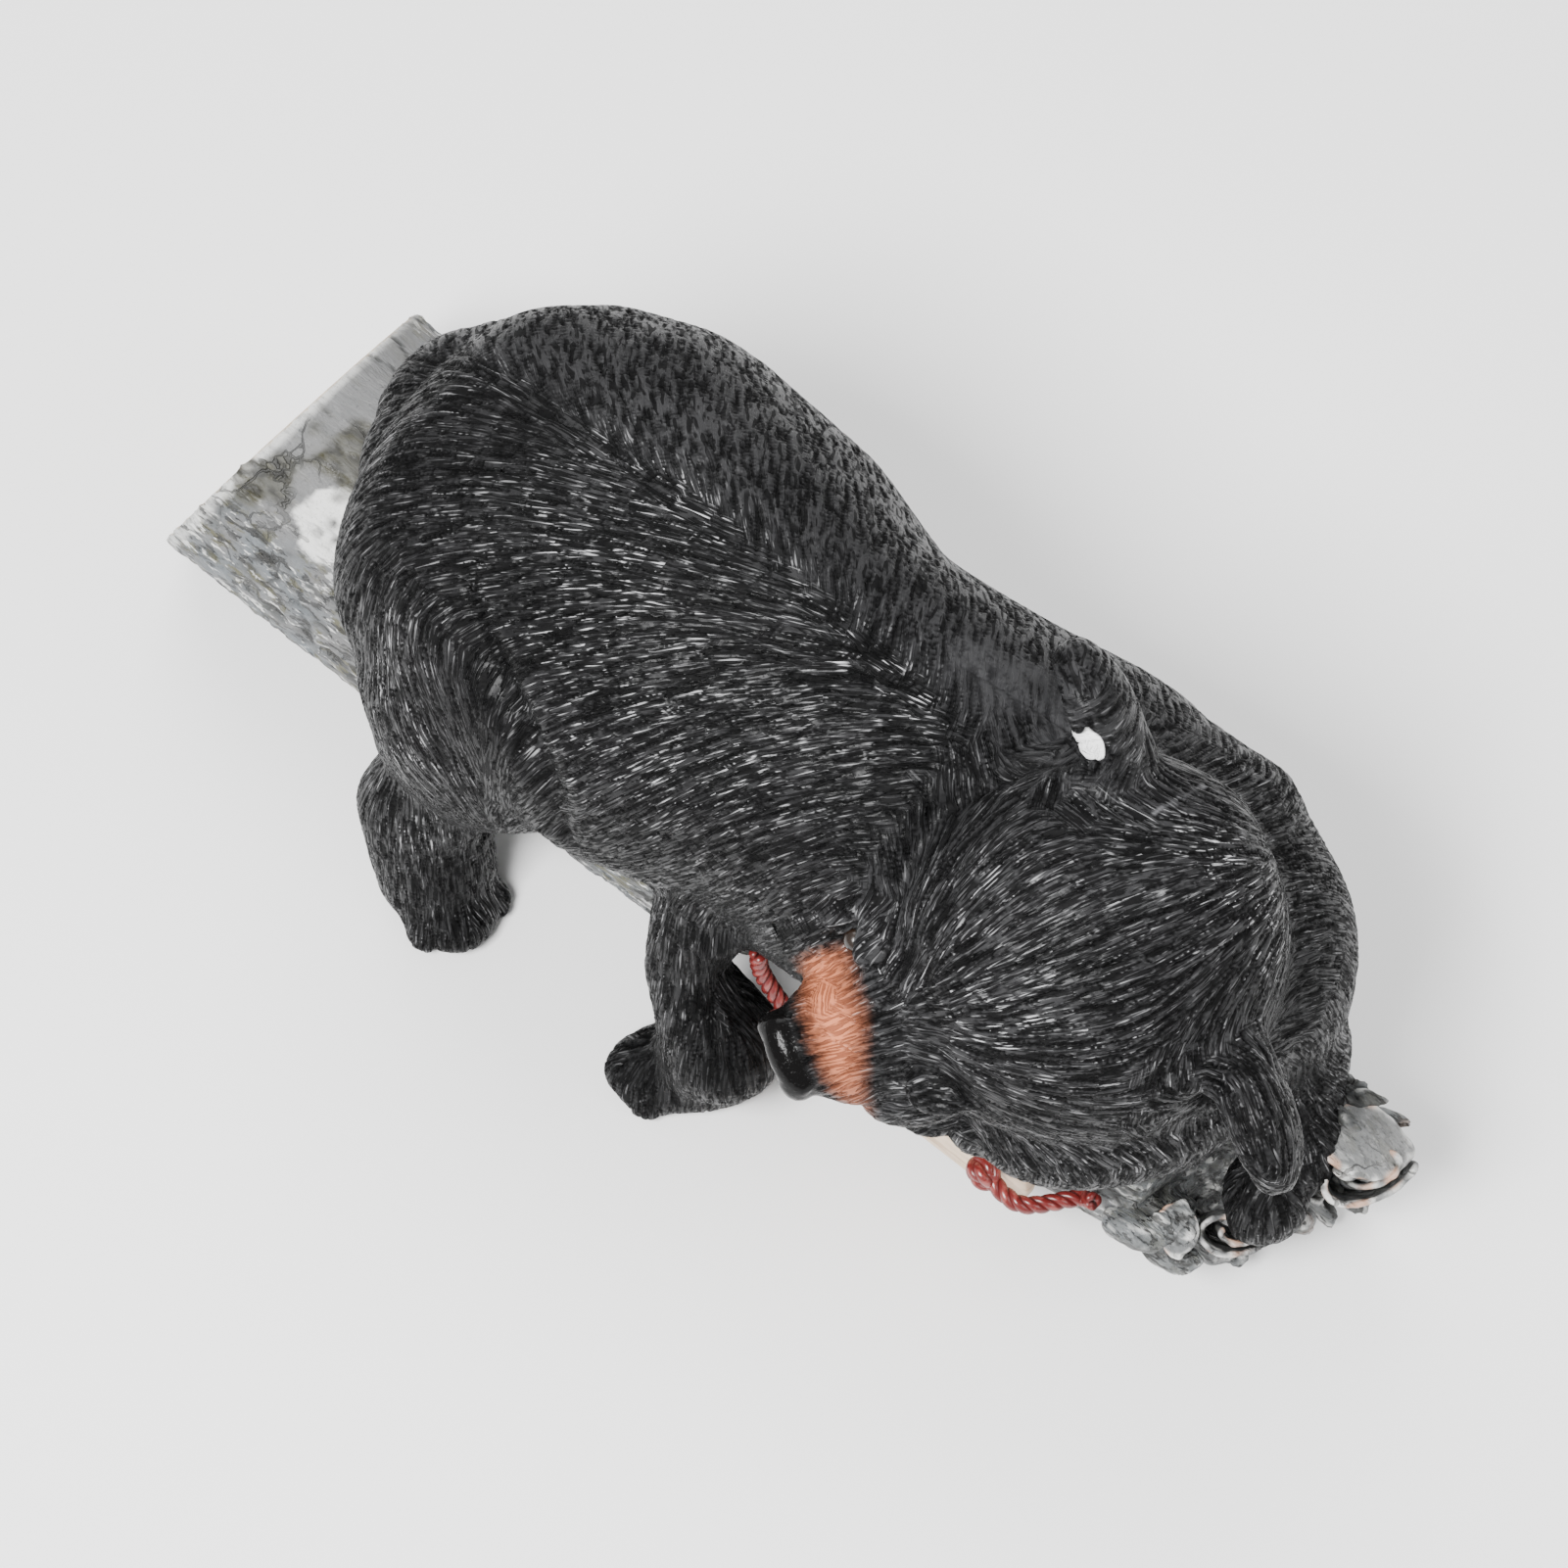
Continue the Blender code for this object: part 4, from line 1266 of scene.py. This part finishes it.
        return new_object(name, mesh)


@dataclass
class Eyes:
    """The two small glossy eyes."""

    material: bpy.types.Material
    radius: float = 3.2 * MM
    places: tuple[Place, ...] = ((0.431, -0.174, 0.114), (0.418, 0.178, 0.112))
    head: HeadPlace = field(default_factory=HeadPlace)

    def build(self) -> bpy.types.Object:
        """Makes both eyes as one piece.

        Returns:
            The piece.
        """
        flat = self.radius * 0.9
        radii = (flat, self.radius, flat)
        eyes = join([ball(self.head.point(*place), radii, self.head.axes()) for place in self.places])
        bpy.ops.object.shade_smooth()
        eyes.name = "glossy_eyes"
        eyes.data.materials.append(self.material)
        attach(eyes, "root")
        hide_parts("bear")
        LOG.info("glossy_eyes: %d faces", len(eyes.data.polygons))
        return eyes


# The log, the board and the ropes


def facing(way: Place) -> Matrix:
    """Axes whose third one points along a way, as matrix columns."""
    return Vector(way).to_track_quat("Z", "Y").to_matrix()


# Shards and plates of the log's broken end: place, half sizes and the way that each one faces
SPLINTERS = (
    ((0.1615, 0.0185, 0.0475), (0.0100, 0.0105, 0.0026), (0.35, 0.1, 0.93)),
    ((0.1405, -0.0200, 0.0345), (0.0060, 0.0054, 0.0022), (0.29, -0.35, 0.89)),
    ((0.1555, 0.0240, 0.0530), (0.0020, 0.0024, 0.0100), (0.80, 0.25, 0.45)),
    ((0.1560, 0.0180, 0.0550), (0.0018, 0.0022, 0.0090), (0.85, -0.2, 0.45)),
    ((0.1600, 0.0280, 0.0430), (0.0020, 0.0026, 0.0090), (0.90, 0.35, 0.10)),
    ((0.1500, 0.0270, 0.0500), (0.0018, 0.0022, 0.0080), (0.90, 0.20, 0.35)),
    ((0.1335, -0.0262, 0.0325), (0.0080, 0.0042, 0.0050), (0.10, -0.70, 0.70)),
    ((0.1425, -0.0225, 0.0250), (0.0080, 0.0040, 0.0042), (0.20, -0.70, 0.70)),
    ((0.1600, 0.0000, 0.0300), (0.0050, 0.0045, 0.0060), (0.50, -0.30, 0.80)),
)

# Outwards from the slanted sawn end
SAWN_WAY = np.array((-0.906, 0.0, 0.42))

# The pale patch on the bark, and the hole at the broken end painted dark as its shade, each with its reach
PALE_PATCH = ((-0.1142, -0.0222, 0.0678), 0.0115)
HOLE_SHADE = ((0.1560, 0.0225, 0.0540), 0.0062)

# Moss on the bark, with its reach
MOSSY = (((-0.1205, -0.0085, 0.0765), 0.0072), ((-0.1180, -0.0030, 0.0775), 0.0060),
         ((-0.1379, -0.0258, 0.0667), 0.0050), ((-0.1330, -0.0200, 0.0700), 0.0045))

# Small pits in the pale patch and holes at the broken end, dented and darkened with painted shade, with their
# reach
PITS = (((-0.1150, -0.0215, 0.0682), 0.0013), ((-0.1125, -0.0240, 0.0665), 0.0010),
        ((-0.1110, -0.0205, 0.0690), 0.0012), ((-0.1168, -0.0245, 0.0660), 0.0009),
        ((0.1358, -0.0229, 0.0450), 0.0026), ((0.1425, -0.0165, 0.0430), 0.0020))


@dataclass
class BirchLog:
    """The barked log with its sawn and broken ends."""

    material: bpy.types.Material
    grain_size: float = 1.18 * MM
    relief: float = 1.25 * MM
    lip_shift: float = 2.6 * MM
    ring_width: float = 2.5 * MM
    sawn_radius: float = 40.8 * MM
    sawn_axis: Place = (-0.155, 0.0, 0.0386)

    def splinters(self) -> list[bpy.types.Object]:
        """Plates and shards of the broken end, as flat balls that the log's skin takes up.

        Returns:
            The balls.
        """
        return [ball(Vector(place), radii, facing(way)) for place, radii, way in SPLINTERS]

    def build(self) -> bpy.types.Object:
        """Makes the log.

        Returns:
            The piece.
        """
        log = join([solid_copy("log")] + self.splinters())
        even_mesh(log, self.grain_size, 1)
        mesh = log.data
        points, normals = vertex_points(mesh), vertex_normals(mesh)
        x, y, z = points.T
        from_axis = points - np.array(self.sawn_axis)
        sawn = smoothstep(0.80, 0.95, normals @ SAWN_WAY) * (x < -0.10)
        torn = smoothstep(0.116, 0.136, x)
        rough = 1.0 - 0.92 * smoothstep(0.35, 0.85, normals[:, 2]) * (1.0 - torn)
        plates = grain(points, (19 * MM, 10 * MM, 10 * MM))
        ridges = 1.0 - 2.0 * np.abs(grain(points, (9 * MM, 2.8 * MM, 2.8 * MM), 9.0))
        fine = grain(points, (4 * MM, 1.9 * MM, 1.9 * MM), 3.0)
        lumps = grain(points, 5.0 * MM, 21.0)
        shreds = grain(points, (7 * MM, 2.4 * MM, 2.4 * MM), 33.0)
        line = smoothstep(0.050, 0.012, np.abs(plates)) * smoothstep(-0.15, 0.2, grain(points, 12 * MM, 4.0))
        gap = smoothstep(0.35, -0.25, ridges) * rough
        moss = smoothstep(0.18, 0.52, glows(points, MOSSY) + 0.45 * lumps)
        white = smoothstep(0.46, 0.52, glow(points, *PALE_PATCH) + 0.16 * lumps)
        pits = glows(points, PITS)
        height = rough * (1.0 - torn) * (0.75 * ridges + 0.30 * fine) + torn * (0.70 * shreds + 0.25 * lumps)
        height += 0.8 * moss * (lumps + fine) - 0.55 * line - 1.2 * pits
        lip = smoothstep(0.147, 0.153, x) * smoothstep(0.004, -0.006, y) * smoothstep(0.036, 0.028, z)
        moved = points + normals * (self.relief * height * (1.0 - 0.95 * sawn))[:, None]
        moved += PHOTO_UP * (self.lip_shift * lip)[:, None]
        moved[:, 2] = np.maximum(moved[:, 2], 0.0)
        # Painted highlight: a pale band along the sawn end's rim
        rim = smoothstep(0.78, 0.93, np.linalg.norm(from_axis[:, 1:], axis=1) / self.sawn_radius) * sawn
        rim += smoothstep(-3.0 * MM, -0.8 * MM, from_axis @ SAWN_WAY)
        # Dark cracks and seams, with painted shade in the bark's hollows, the lows of the broken wood and the
        # moss, and the pits
        crack_and_shade = 0.9 * line + 0.75 * gap * (1.0 - white) + torn * smoothstep(-0.15, -0.50, shreds) + pits
        crack_and_shade = np.clip(crack_and_shade, 0.0, 1.0) + 0.75 * moss * smoothstep(0.05, -0.25, fine)
        # Painted shade in the hole at the broken end
        hole = 0.75 * glow(points, *HOLE_SHADE) * smoothstep(0.3, -0.1, shreds)
        mossy = moss + 0.35 * gap * smoothstep(0.0, 0.4, grain(points, 14 * MM, 6.0))
        set_values(mesh, {
            "sawn": sawn, "rough": rough, "torn": torn,
            "crack_and_shade": np.maximum(np.clip(crack_and_shade, 0.0, 1.0), hole) * (1.0 - sawn),
            "rounds": np.linalg.norm(from_axis, axis=1) / self.ring_width + 0.4 * plates,
            "ring": np.clip(0.55 + 0.5 * lumps, 0.0, 1.0),
            "moss": np.clip(mossy, 0.0, 1.0),
            # The pale patch, with painted highlights on the sawn rim and on the crests of the broken wood
            "white": np.clip(white + 0.7 * rim + torn * smoothstep(0.25, 0.5, shreds), 0.0, 1.0),
            "peach": torn * smoothstep(0.158, 0.168, x) * smoothstep(0.1, 0.5, lumps) * 0.3,
        })
        move_points(mesh, moved)
        mesh.materials.append(self.material)
        log.name = "birch_log"
        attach(log, "root")
        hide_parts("log")
        LOG.info("birch_log: %d faces", len(mesh.polygons))
        return log


@dataclass
class BarkSheet:
    """A thin sheet of torn bark at the log's broken end, with a paler edge that is a painted highlight, and
    painted shade in its dents.
    """

    material: bpy.types.Material
    name: str
    centre: Place
    way: Place
    long: Place
    thickness: float

    def axes(self) -> Matrix:
        """The sheet's own axes, its long side first.

        Returns:
            The axes as matrix columns.
        """
        up = Vector(self.way).normalized()
        along = (Vector(self.long) - up * up.dot(Vector(self.long))).normalized()
        return Matrix((along, up.cross(along), up)).transposed()

    def chalk(self) -> float:
        """How white the sheet is away from its edge."""
        return 0.0

    def outline(self) -> tuple[list[Vector], list[tuple]]:
        """The sheet's middle surface: vertices on its own axes, and faces."""
        raise NotImplementedError

    def rim(self, local: np.ndarray) -> np.ndarray:
        """How near to the torn edge each place is."""
        raise NotImplementedError

    def build(self) -> bpy.types.Object:
        """Makes the sheet.

        Returns:
            The piece.
        """
        axes = self.axes()
        vertices, faces = self.outline()
        mesh = bpy.data.meshes.new(self.name)
        mesh.from_pydata([Vector(self.centre) + axes @ vertex for vertex in vertices], [], faces)
        sheet = new_object(self.name, mesh)
        modify(sheet, "SOLIDIFY", thickness=self.thickness, offset=0.0)
        modify(sheet, "SUBSURF", levels=2, render_levels=2)
        bpy.ops.object.shade_smooth()
        mesh = sheet.data
        points = vertex_points(mesh)
        rim = self.rim((points - np.array(self.centre)) @ np.array(axes))
        bits = grain(points, 2.6 * MM)
        fine = grain(points, 1.3 * MM, 8.0)
        move_points(mesh, points + vertex_normals(mesh) * (MM * (0.28 * bits + 0.14 * fine))[:, None])
        rosy = smoothstep(0.05, 0.35, grain(points, 6.0 * MM, 2.0) + 0.1)
        none = np.zeros(len(points))
        set_values(mesh, {
            "sawn": none, "rough": none + 0.35, "torn": none + 0.35, "moss": none, "ring": none,
            # Painted highlight along the torn edge, over the sheet's own chalk
            "white": np.clip(self.chalk() + rim * smoothstep(-0.3, 0.3, bits) * 0.8, 0.0, 1.0),
            # Painted shade in the dents away from the edge
            "crack_and_shade": 0.8 * smoothstep(0.08, 0.40, -bits) * (1.0 - rim) * (self.chalk() == 0.0),
            "peach": 0.8 * rim * rosy,
        })
        mesh.materials.append(self.material)
        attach(sheet, "root")
        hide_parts("log")
        LOG.info("%s: %d faces", self.name, len(mesh.polygons))
        return sheet


@dataclass
class Scroll(BarkSheet):
    """A rolled sheet, seen on its end."""

    radius: float
    squash: float
    turns: float
    height: float
    start: float
    steps_a_turn: int = 26
    rows: int = 9

    def outline(self) -> tuple[list[Vector], list[tuple]]:
        """The rolled surface.

        Returns:
            Its vertices on its own axes, and its faces.
        """
        steps, rows = int(self.steps_a_turn * self.turns), self.rows
        vertices = []
        for step in range(steps + 1):
            share = step / steps
            angle = self.start + 2.0 * math.pi * self.turns * share
            for row in range(rows):
                up = row / (rows - 1)
                wave = noise.noise(Vector((5.0 * share * self.turns, 2.0 * up, self.start)))
                reach = self.radius * (0.22 + 0.78 * share) * (1.0 + 0.10 * up) + 1.1 * MM * wave
                tall = self.height * (up - 1.0) + 3.0 * MM * wave * up
                x, y = reach * math.cos(angle), self.squash * reach * math.sin(angle)
                vertices.append(Vector((x, y, tall)))
        faces = [(a * rows + b, (a + 1) * rows + b, (a + 1) * rows + b + 1, a * rows + b + 1)
                 for a in range(steps) for b in range(rows - 1)]
        return vertices, faces

    def rim(self, local: np.ndarray) -> np.ndarray:
        """The roll's upper edge."""
        return smoothstep(-1.8 * MM, -0.4 * MM, local[:, 2])


@dataclass
class Flake(BarkSheet):
    """A rounded, domed flake."""

    half_length: float
    half_width: float
    dome: float
    lime: float = 0.0
    rings: int = 6
    spokes: int = 24

    def outline(self) -> tuple[list[Vector], list[tuple]]:
        """The domed surface.

        Returns:
            Its vertices on its own axes, and its faces.
        """
        rings, spokes = self.rings, self.spokes
        vertices = [Vector((0.0, 0.0, 0.0))]
        for ring in range(1, rings + 1):
            share = ring / rings
            for spoke in range(spokes):
                angle = 2.0 * math.pi * spoke / spokes
                bend = Vector((math.cos(angle) * 2.2, math.sin(angle) * 2.2, self.half_length * 900.0))
                wave = 1.0 + 0.30 * noise.noise(bend)
                x, y = math.cos(angle) * share * wave, math.sin(angle) * share * wave
                lift = -self.dome * share * share + 0.5 * MM * smoothstep(0.7, 1.0, np.array(share))
                vertices.append(Vector((self.half_length * x, self.half_width * y, float(lift))))
        after = [(spoke + 1) % spokes for spoke in range(spokes)]
        faces = [(0, 1 + spoke, 1 + after[spoke]) for spoke in range(spokes)]
        for ring in range(rings - 1):
            low, high = 1 + ring * spokes, 1 + (ring + 1) * spokes
            faces += [(low + k, high + k, high + after[k], low + after[k]) for k in range(spokes)]
        return vertices, faces

    def chalk(self) -> float:
        """How white the flake is away from its edge."""
        return self.lime

    def rim(self, local: np.ndarray) -> np.ndarray:
        """The flake's outer edge."""
        return smoothstep(0.80, 0.95, np.hypot(local[:, 0] / self.half_length, local[:, 1] / self.half_width))


def bark_sheets(bark: bpy.types.Material) -> list[BarkSheet]:
    """The curled and torn sheets at the log's broken end.

    Args:
        bark: Their material.

    Returns:
        The sheets, not built yet.
    """
    return [
        Scroll(bark, "bark_scroll_far", thickness=1.6 * MM, radius=0.0112, squash=0.58, turns=1.9, start=0.3,
               centre=(0.1678, 0.0140, 0.0465), way=VIEWED, long=(0.490, 0.855, 0.170), height=0.018),
        Scroll(bark, "bark_scroll_near", thickness=1.5 * MM, radius=0.0080, squash=0.62, turns=1.5, start=2.6,
               centre=(0.1510, -0.0120, 0.0320), way=VIEWED, long=(0.78, 0.60, -0.05), height=0.016),
        Flake(bark, "bark_flake_leaf", thickness=1.4 * MM, half_length=0.0066, half_width=0.0052, dome=0.0016,
              centre=(0.1415, -0.0205, 0.0350), way=(0.30, -0.42, 0.86), long=(0.55, -0.75, -0.35)),
        Flake(bark, "bark_plate_far", thickness=1.9 * MM, half_length=0.0125, half_width=0.0088, dome=0.0012,
              centre=(0.1630, 0.0185, 0.0500), way=(0.36, 0.10, 0.93), long=(0.85, 0.50, -0.30), lime=0.12),
    ]


@dataclass
class SignBoard:
    """The bare board on the near side of the log."""

    material: bpy.types.Material
    grain_size: float = 0.7 * MM

    def build(self) -> bpy.types.Object:
        """Makes the board.

        Returns:
            The piece.
        """
        board = solid_copy("sign_board")
        even_mesh(board, self.grain_size, 2)
        mesh = board.data
        points, normals = vertex_points(mesh), vertex_normals(mesh)
        lines = grain(points, (30 * MM, 6 * MM, 1.6 * MM))
        move_points(mesh, points + normals * (0.18 * MM * lines)[:, None])
        set_values(mesh, {"edge": 1.0 - smoothstep(0.5, 0.9, np.abs(normals[:, 1]))})
        mesh.materials.append(self.material)
        board.name = "board"
        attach(board, "root")
        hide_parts("sign_board")
        LOG.info("board: %d faces", len(mesh.polygons))
        return board


# The middles of the two ropes, from the chest or the log to the knots on the board
ROPES = {
    "rope_left": ((0.0338, -0.0406, 0.0660), (0.0342, -0.0402, 0.0570), (0.0385, -0.0396, 0.0475),
                  (0.0465, -0.0395, 0.0385), (0.0580, -0.0393, 0.0380)),
    "rope_right": ((0.1235, -0.0285, 0.0380), (0.1195, -0.0287, 0.0340), (0.1110, -0.0393, 0.0365),
                   (0.1000, -0.0393, 0.0380)),
}


@dataclass
class LaidRope:
    """A length of three-strand rope through given places, with a knot at its end."""

    material: bpy.types.Material
    node: str
    places: tuple[Place, ...]
    radius: float = 2.05 * MM
    lay: float = 10.5 * MM
    knot_radius: float = 2.3 * MM
    sides: int = 14
    step: float = 0.35 * MM

    def path(self) -> np.ndarray:
        """A smooth line through the places.

        Returns:
            Its points in even steps.
        """
        knots = [Vector(place) for place in self.places]
        knots = [knots[0] * 2 - knots[1]] + knots + [knots[-1] * 2 - knots[-2]]
        line = []
        for a, b, c, d in zip(knots, knots[1:], knots[2:], knots[3:]):
            for t in np.linspace(0.0, 1.0, 24, endpoint=False):
                line.append(0.5 * ((2 * b) + (c - a) * t + (2 * a - 5 * b + 4 * c - d) * t * t
                                   + (3 * b - a - 3 * c + d) * t * t * t))
        line.append(knots[-2])
        points = np.array(line)
        run = self.run(points)
        even = np.linspace(0.0, run[-1], max(8, int(run[-1] / self.step)))
        return np.stack([np.interp(even, run, points[:, axis]) for axis in range(3)], axis=1)

    def run(self, line: np.ndarray) -> np.ndarray:
        """How far along a line each of its points is."""
        return np.concatenate([[0.0], np.cumsum(np.linalg.norm(np.diff(line, axis=0), axis=1))])

    def strand(self, line: np.ndarray, phase: float) -> tuple[list, list, list]:
        """One strand wound round the line.

        Args:
            line: The rope's middle.
            phase: Where it starts round the rope.

        Returns:
            Its vertices, its faces and how far out each vertex lies.
        """
        ways = unit(np.gradient(line, axis=0))
        across = unit(np.cross(ways, np.array((0.13, 0.31, 0.94))))
        other = np.cross(ways, across)
        angle = phase + 2.0 * math.pi * self.run(line) / self.lay
        out = across * np.cos(angle)[:, None] + other * np.sin(angle)[:, None]
        beside = np.cross(ways, out)
        middle = line + out * (0.50 * self.radius)
        size = 0.56 * self.radius
        vertices, crest = [], []
        for centre, o, b in zip(middle, out, beside):
            for turn in np.linspace(0.0, 2.0 * math.pi, self.sides, endpoint=False):
                vertices.append(tuple(centre + size * (o * math.cos(turn) + b * 1.18 * math.sin(turn))))
                crest.append(0.5 + 0.5 * math.cos(turn))
        count = len(line)
        faces = [(r * self.sides + k, r * self.sides + (k + 1) % self.sides,
                  (r + 1) * self.sides + (k + 1) % self.sides, (r + 1) * self.sides + k)
                 for r in range(count - 1) for k in range(self.sides)]
        faces.append(tuple(reversed(range(self.sides))))
        faces.append(tuple(range((count - 1) * self.sides, count * self.sides)))
        return vertices, faces, crest

    def knot(self) -> list[np.ndarray]:
        """The two turns of the knot at the rope's end.

        Returns:
            Their lines.
        """
        centre = np.array(self.places[-1])
        angles = np.linspace(0.0, 2.0 * math.pi * 0.98, 60)
        turns = []
        for tilt in (0.5, -0.6):
            across = (np.sin(angles) * math.sin(tilt), np.sin(angles) * math.cos(tilt))
            turns.append(centre + np.stack((np.cos(angles), *across), axis=1) * self.knot_radius)
        return turns

    def build(self) -> bpy.types.Object:
        """Makes the rope.

        Returns:
            The piece.
        """
        vertices, faces, crest = [], [], []
        for line in [self.path()] + self.knot():
            for number in range(3):
                places, quads, outer = self.strand(line, 2.0 * math.pi * number / 3.0)
                faces.extend(tuple(index + len(vertices) for index in quad) for quad in quads)
                vertices.extend(places)
                crest.extend(outer)
        mesh = bpy.data.meshes.new("laid_" + self.node)
        mesh.from_pydata(vertices, [], faces)
        set_values(mesh, {"crest": np.array(crest)})
        mesh.materials.append(self.material)
        rope = new_object("laid_" + self.node, mesh)
        activate(rope)
        bpy.ops.object.mode_set(mode="EDIT")
        bpy.ops.mesh.select_all(action="SELECT")
        bpy.ops.mesh.normals_make_consistent(inside=False)
        bpy.ops.object.mode_set(mode="OBJECT")
        bpy.ops.object.shade_smooth()
        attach(rope, "root")
        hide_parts(self.node)
        LOG.info("%s: %d faces", rope.name, len(mesh.polygons))
        return rope


# The studio


@dataclass(frozen=True)
class Studio:
    """A pale floor, soft lights and the camera."""

    azimuth: float = 40.4
    elevation: float = 63.0
    distance: float = 1.1635
    target: Place = (0.0, 0.00809, 0.0349)
    lens: float = 112.43
    lamp_distance: float = 1.3
    floor_size: float = 12.0
    floor_drop: float = 0.2 * MM
    room_light: float = 0.8

    def direction(self, azimuth: float, elevation: float) -> Vector:
        """The way from the object to a viewer."""
        a, e = math.radians(azimuth), math.radians(elevation)
        return Vector((math.sin(a) * math.cos(e), -math.cos(a) * math.cos(e), math.sin(e)))

    def aim(self, name: str, data: bpy.types.ID, way: Vector, distance: float) -> bpy.types.Object:
        """Adds a light or a camera that looks at the object.

        Args:
            name: The new object's name.
            data: The light or the camera.
            way: The way to it from the object.
            distance: How far away it is.

        Returns:
            The new object.
        """
        looker = new_object(name, data)
        looker.location = Vector(self.target) + way * distance
        looker.rotation_euler = way.to_track_quat("Z", "Y").to_euler()
        return looker

    def lamp(self, name: str, azimuth: float, elevation: float, size: float, power: float) -> None:
        """Adds an area light.

        Args:
            name: Its name.
            azimuth: The side that it is on, in degrees.
            elevation: How high it stands, in degrees.
            size: Its size in metres.
            power: Its power in watts.
        """
        light = bpy.data.lights.new(name, "AREA")
        light.size = size
        light.energy = power
        self.aim(name, light, self.direction(azimuth, elevation), self.lamp_distance)

    def build(self) -> None:
        """Makes the floor, the lights and the camera."""
        deselect()
        bpy.ops.mesh.primitive_plane_add(size=self.floor_size, location=(0.0, 0.0, -self.floor_drop))
        floor = bpy.context.object
        floor.name = "studio_floor"
        material, _, shader = new_material("pale_floor")
        shader.inputs["Base Color"].default_value = (0.92, 0.92, 0.92, 1.0)
        shader.inputs["Roughness"].default_value = 0.9
        floor.data.materials.append(material)
        world = bpy.data.worlds.new("soft_room")
        bpy.context.scene.world = world
        world.use_nodes = True
        background = world.node_tree.nodes["Background"]
        background.inputs["Color"].default_value = (1.0, 1.0, 1.0, 1.0)
        background.inputs["Strength"].default_value = self.room_light
        self.lamp("key", 5.0, 55.0, 0.45, 38.0)
        self.lamp("fill", 110.0, 35.0, 0.8, 8.0)
        self.lamp("back", 230.0, 55.0, 0.8, 10.0)
        camera = bpy.data.cameras.new("camera")
        camera.lens = self.lens
        camera.sensor_width = 36.0
        way = self.direction(self.azimuth, self.elevation)
        bpy.context.scene.camera = self.aim("camera", camera, way, self.distance)


def main() -> None:
    """Builds the figurine's pieces in order and reports them."""
    logging.basicConfig(level=logging.INFO, format="%(name)s: %(message)s")
    Studio().build()
    strokes, stains = stroke_group(), dust_group()
    BearCoat(CoatFinish().make(strokes, stains)).build()
    bark = BarkFinish().make(stains)
    BirchLog(bark).build()
    for sheet in bark_sheets(bark):
        sheet.build()
    Eyes(EyeFinish().make(stains)).build()
    SignBoard(BoardFinish().make(stains)).build()
    red = RopeFinish().make(stains)
    for node, places in ROPES.items():
        LaidRope(red, node, places).build()


if __name__ == "__main__":
    main()
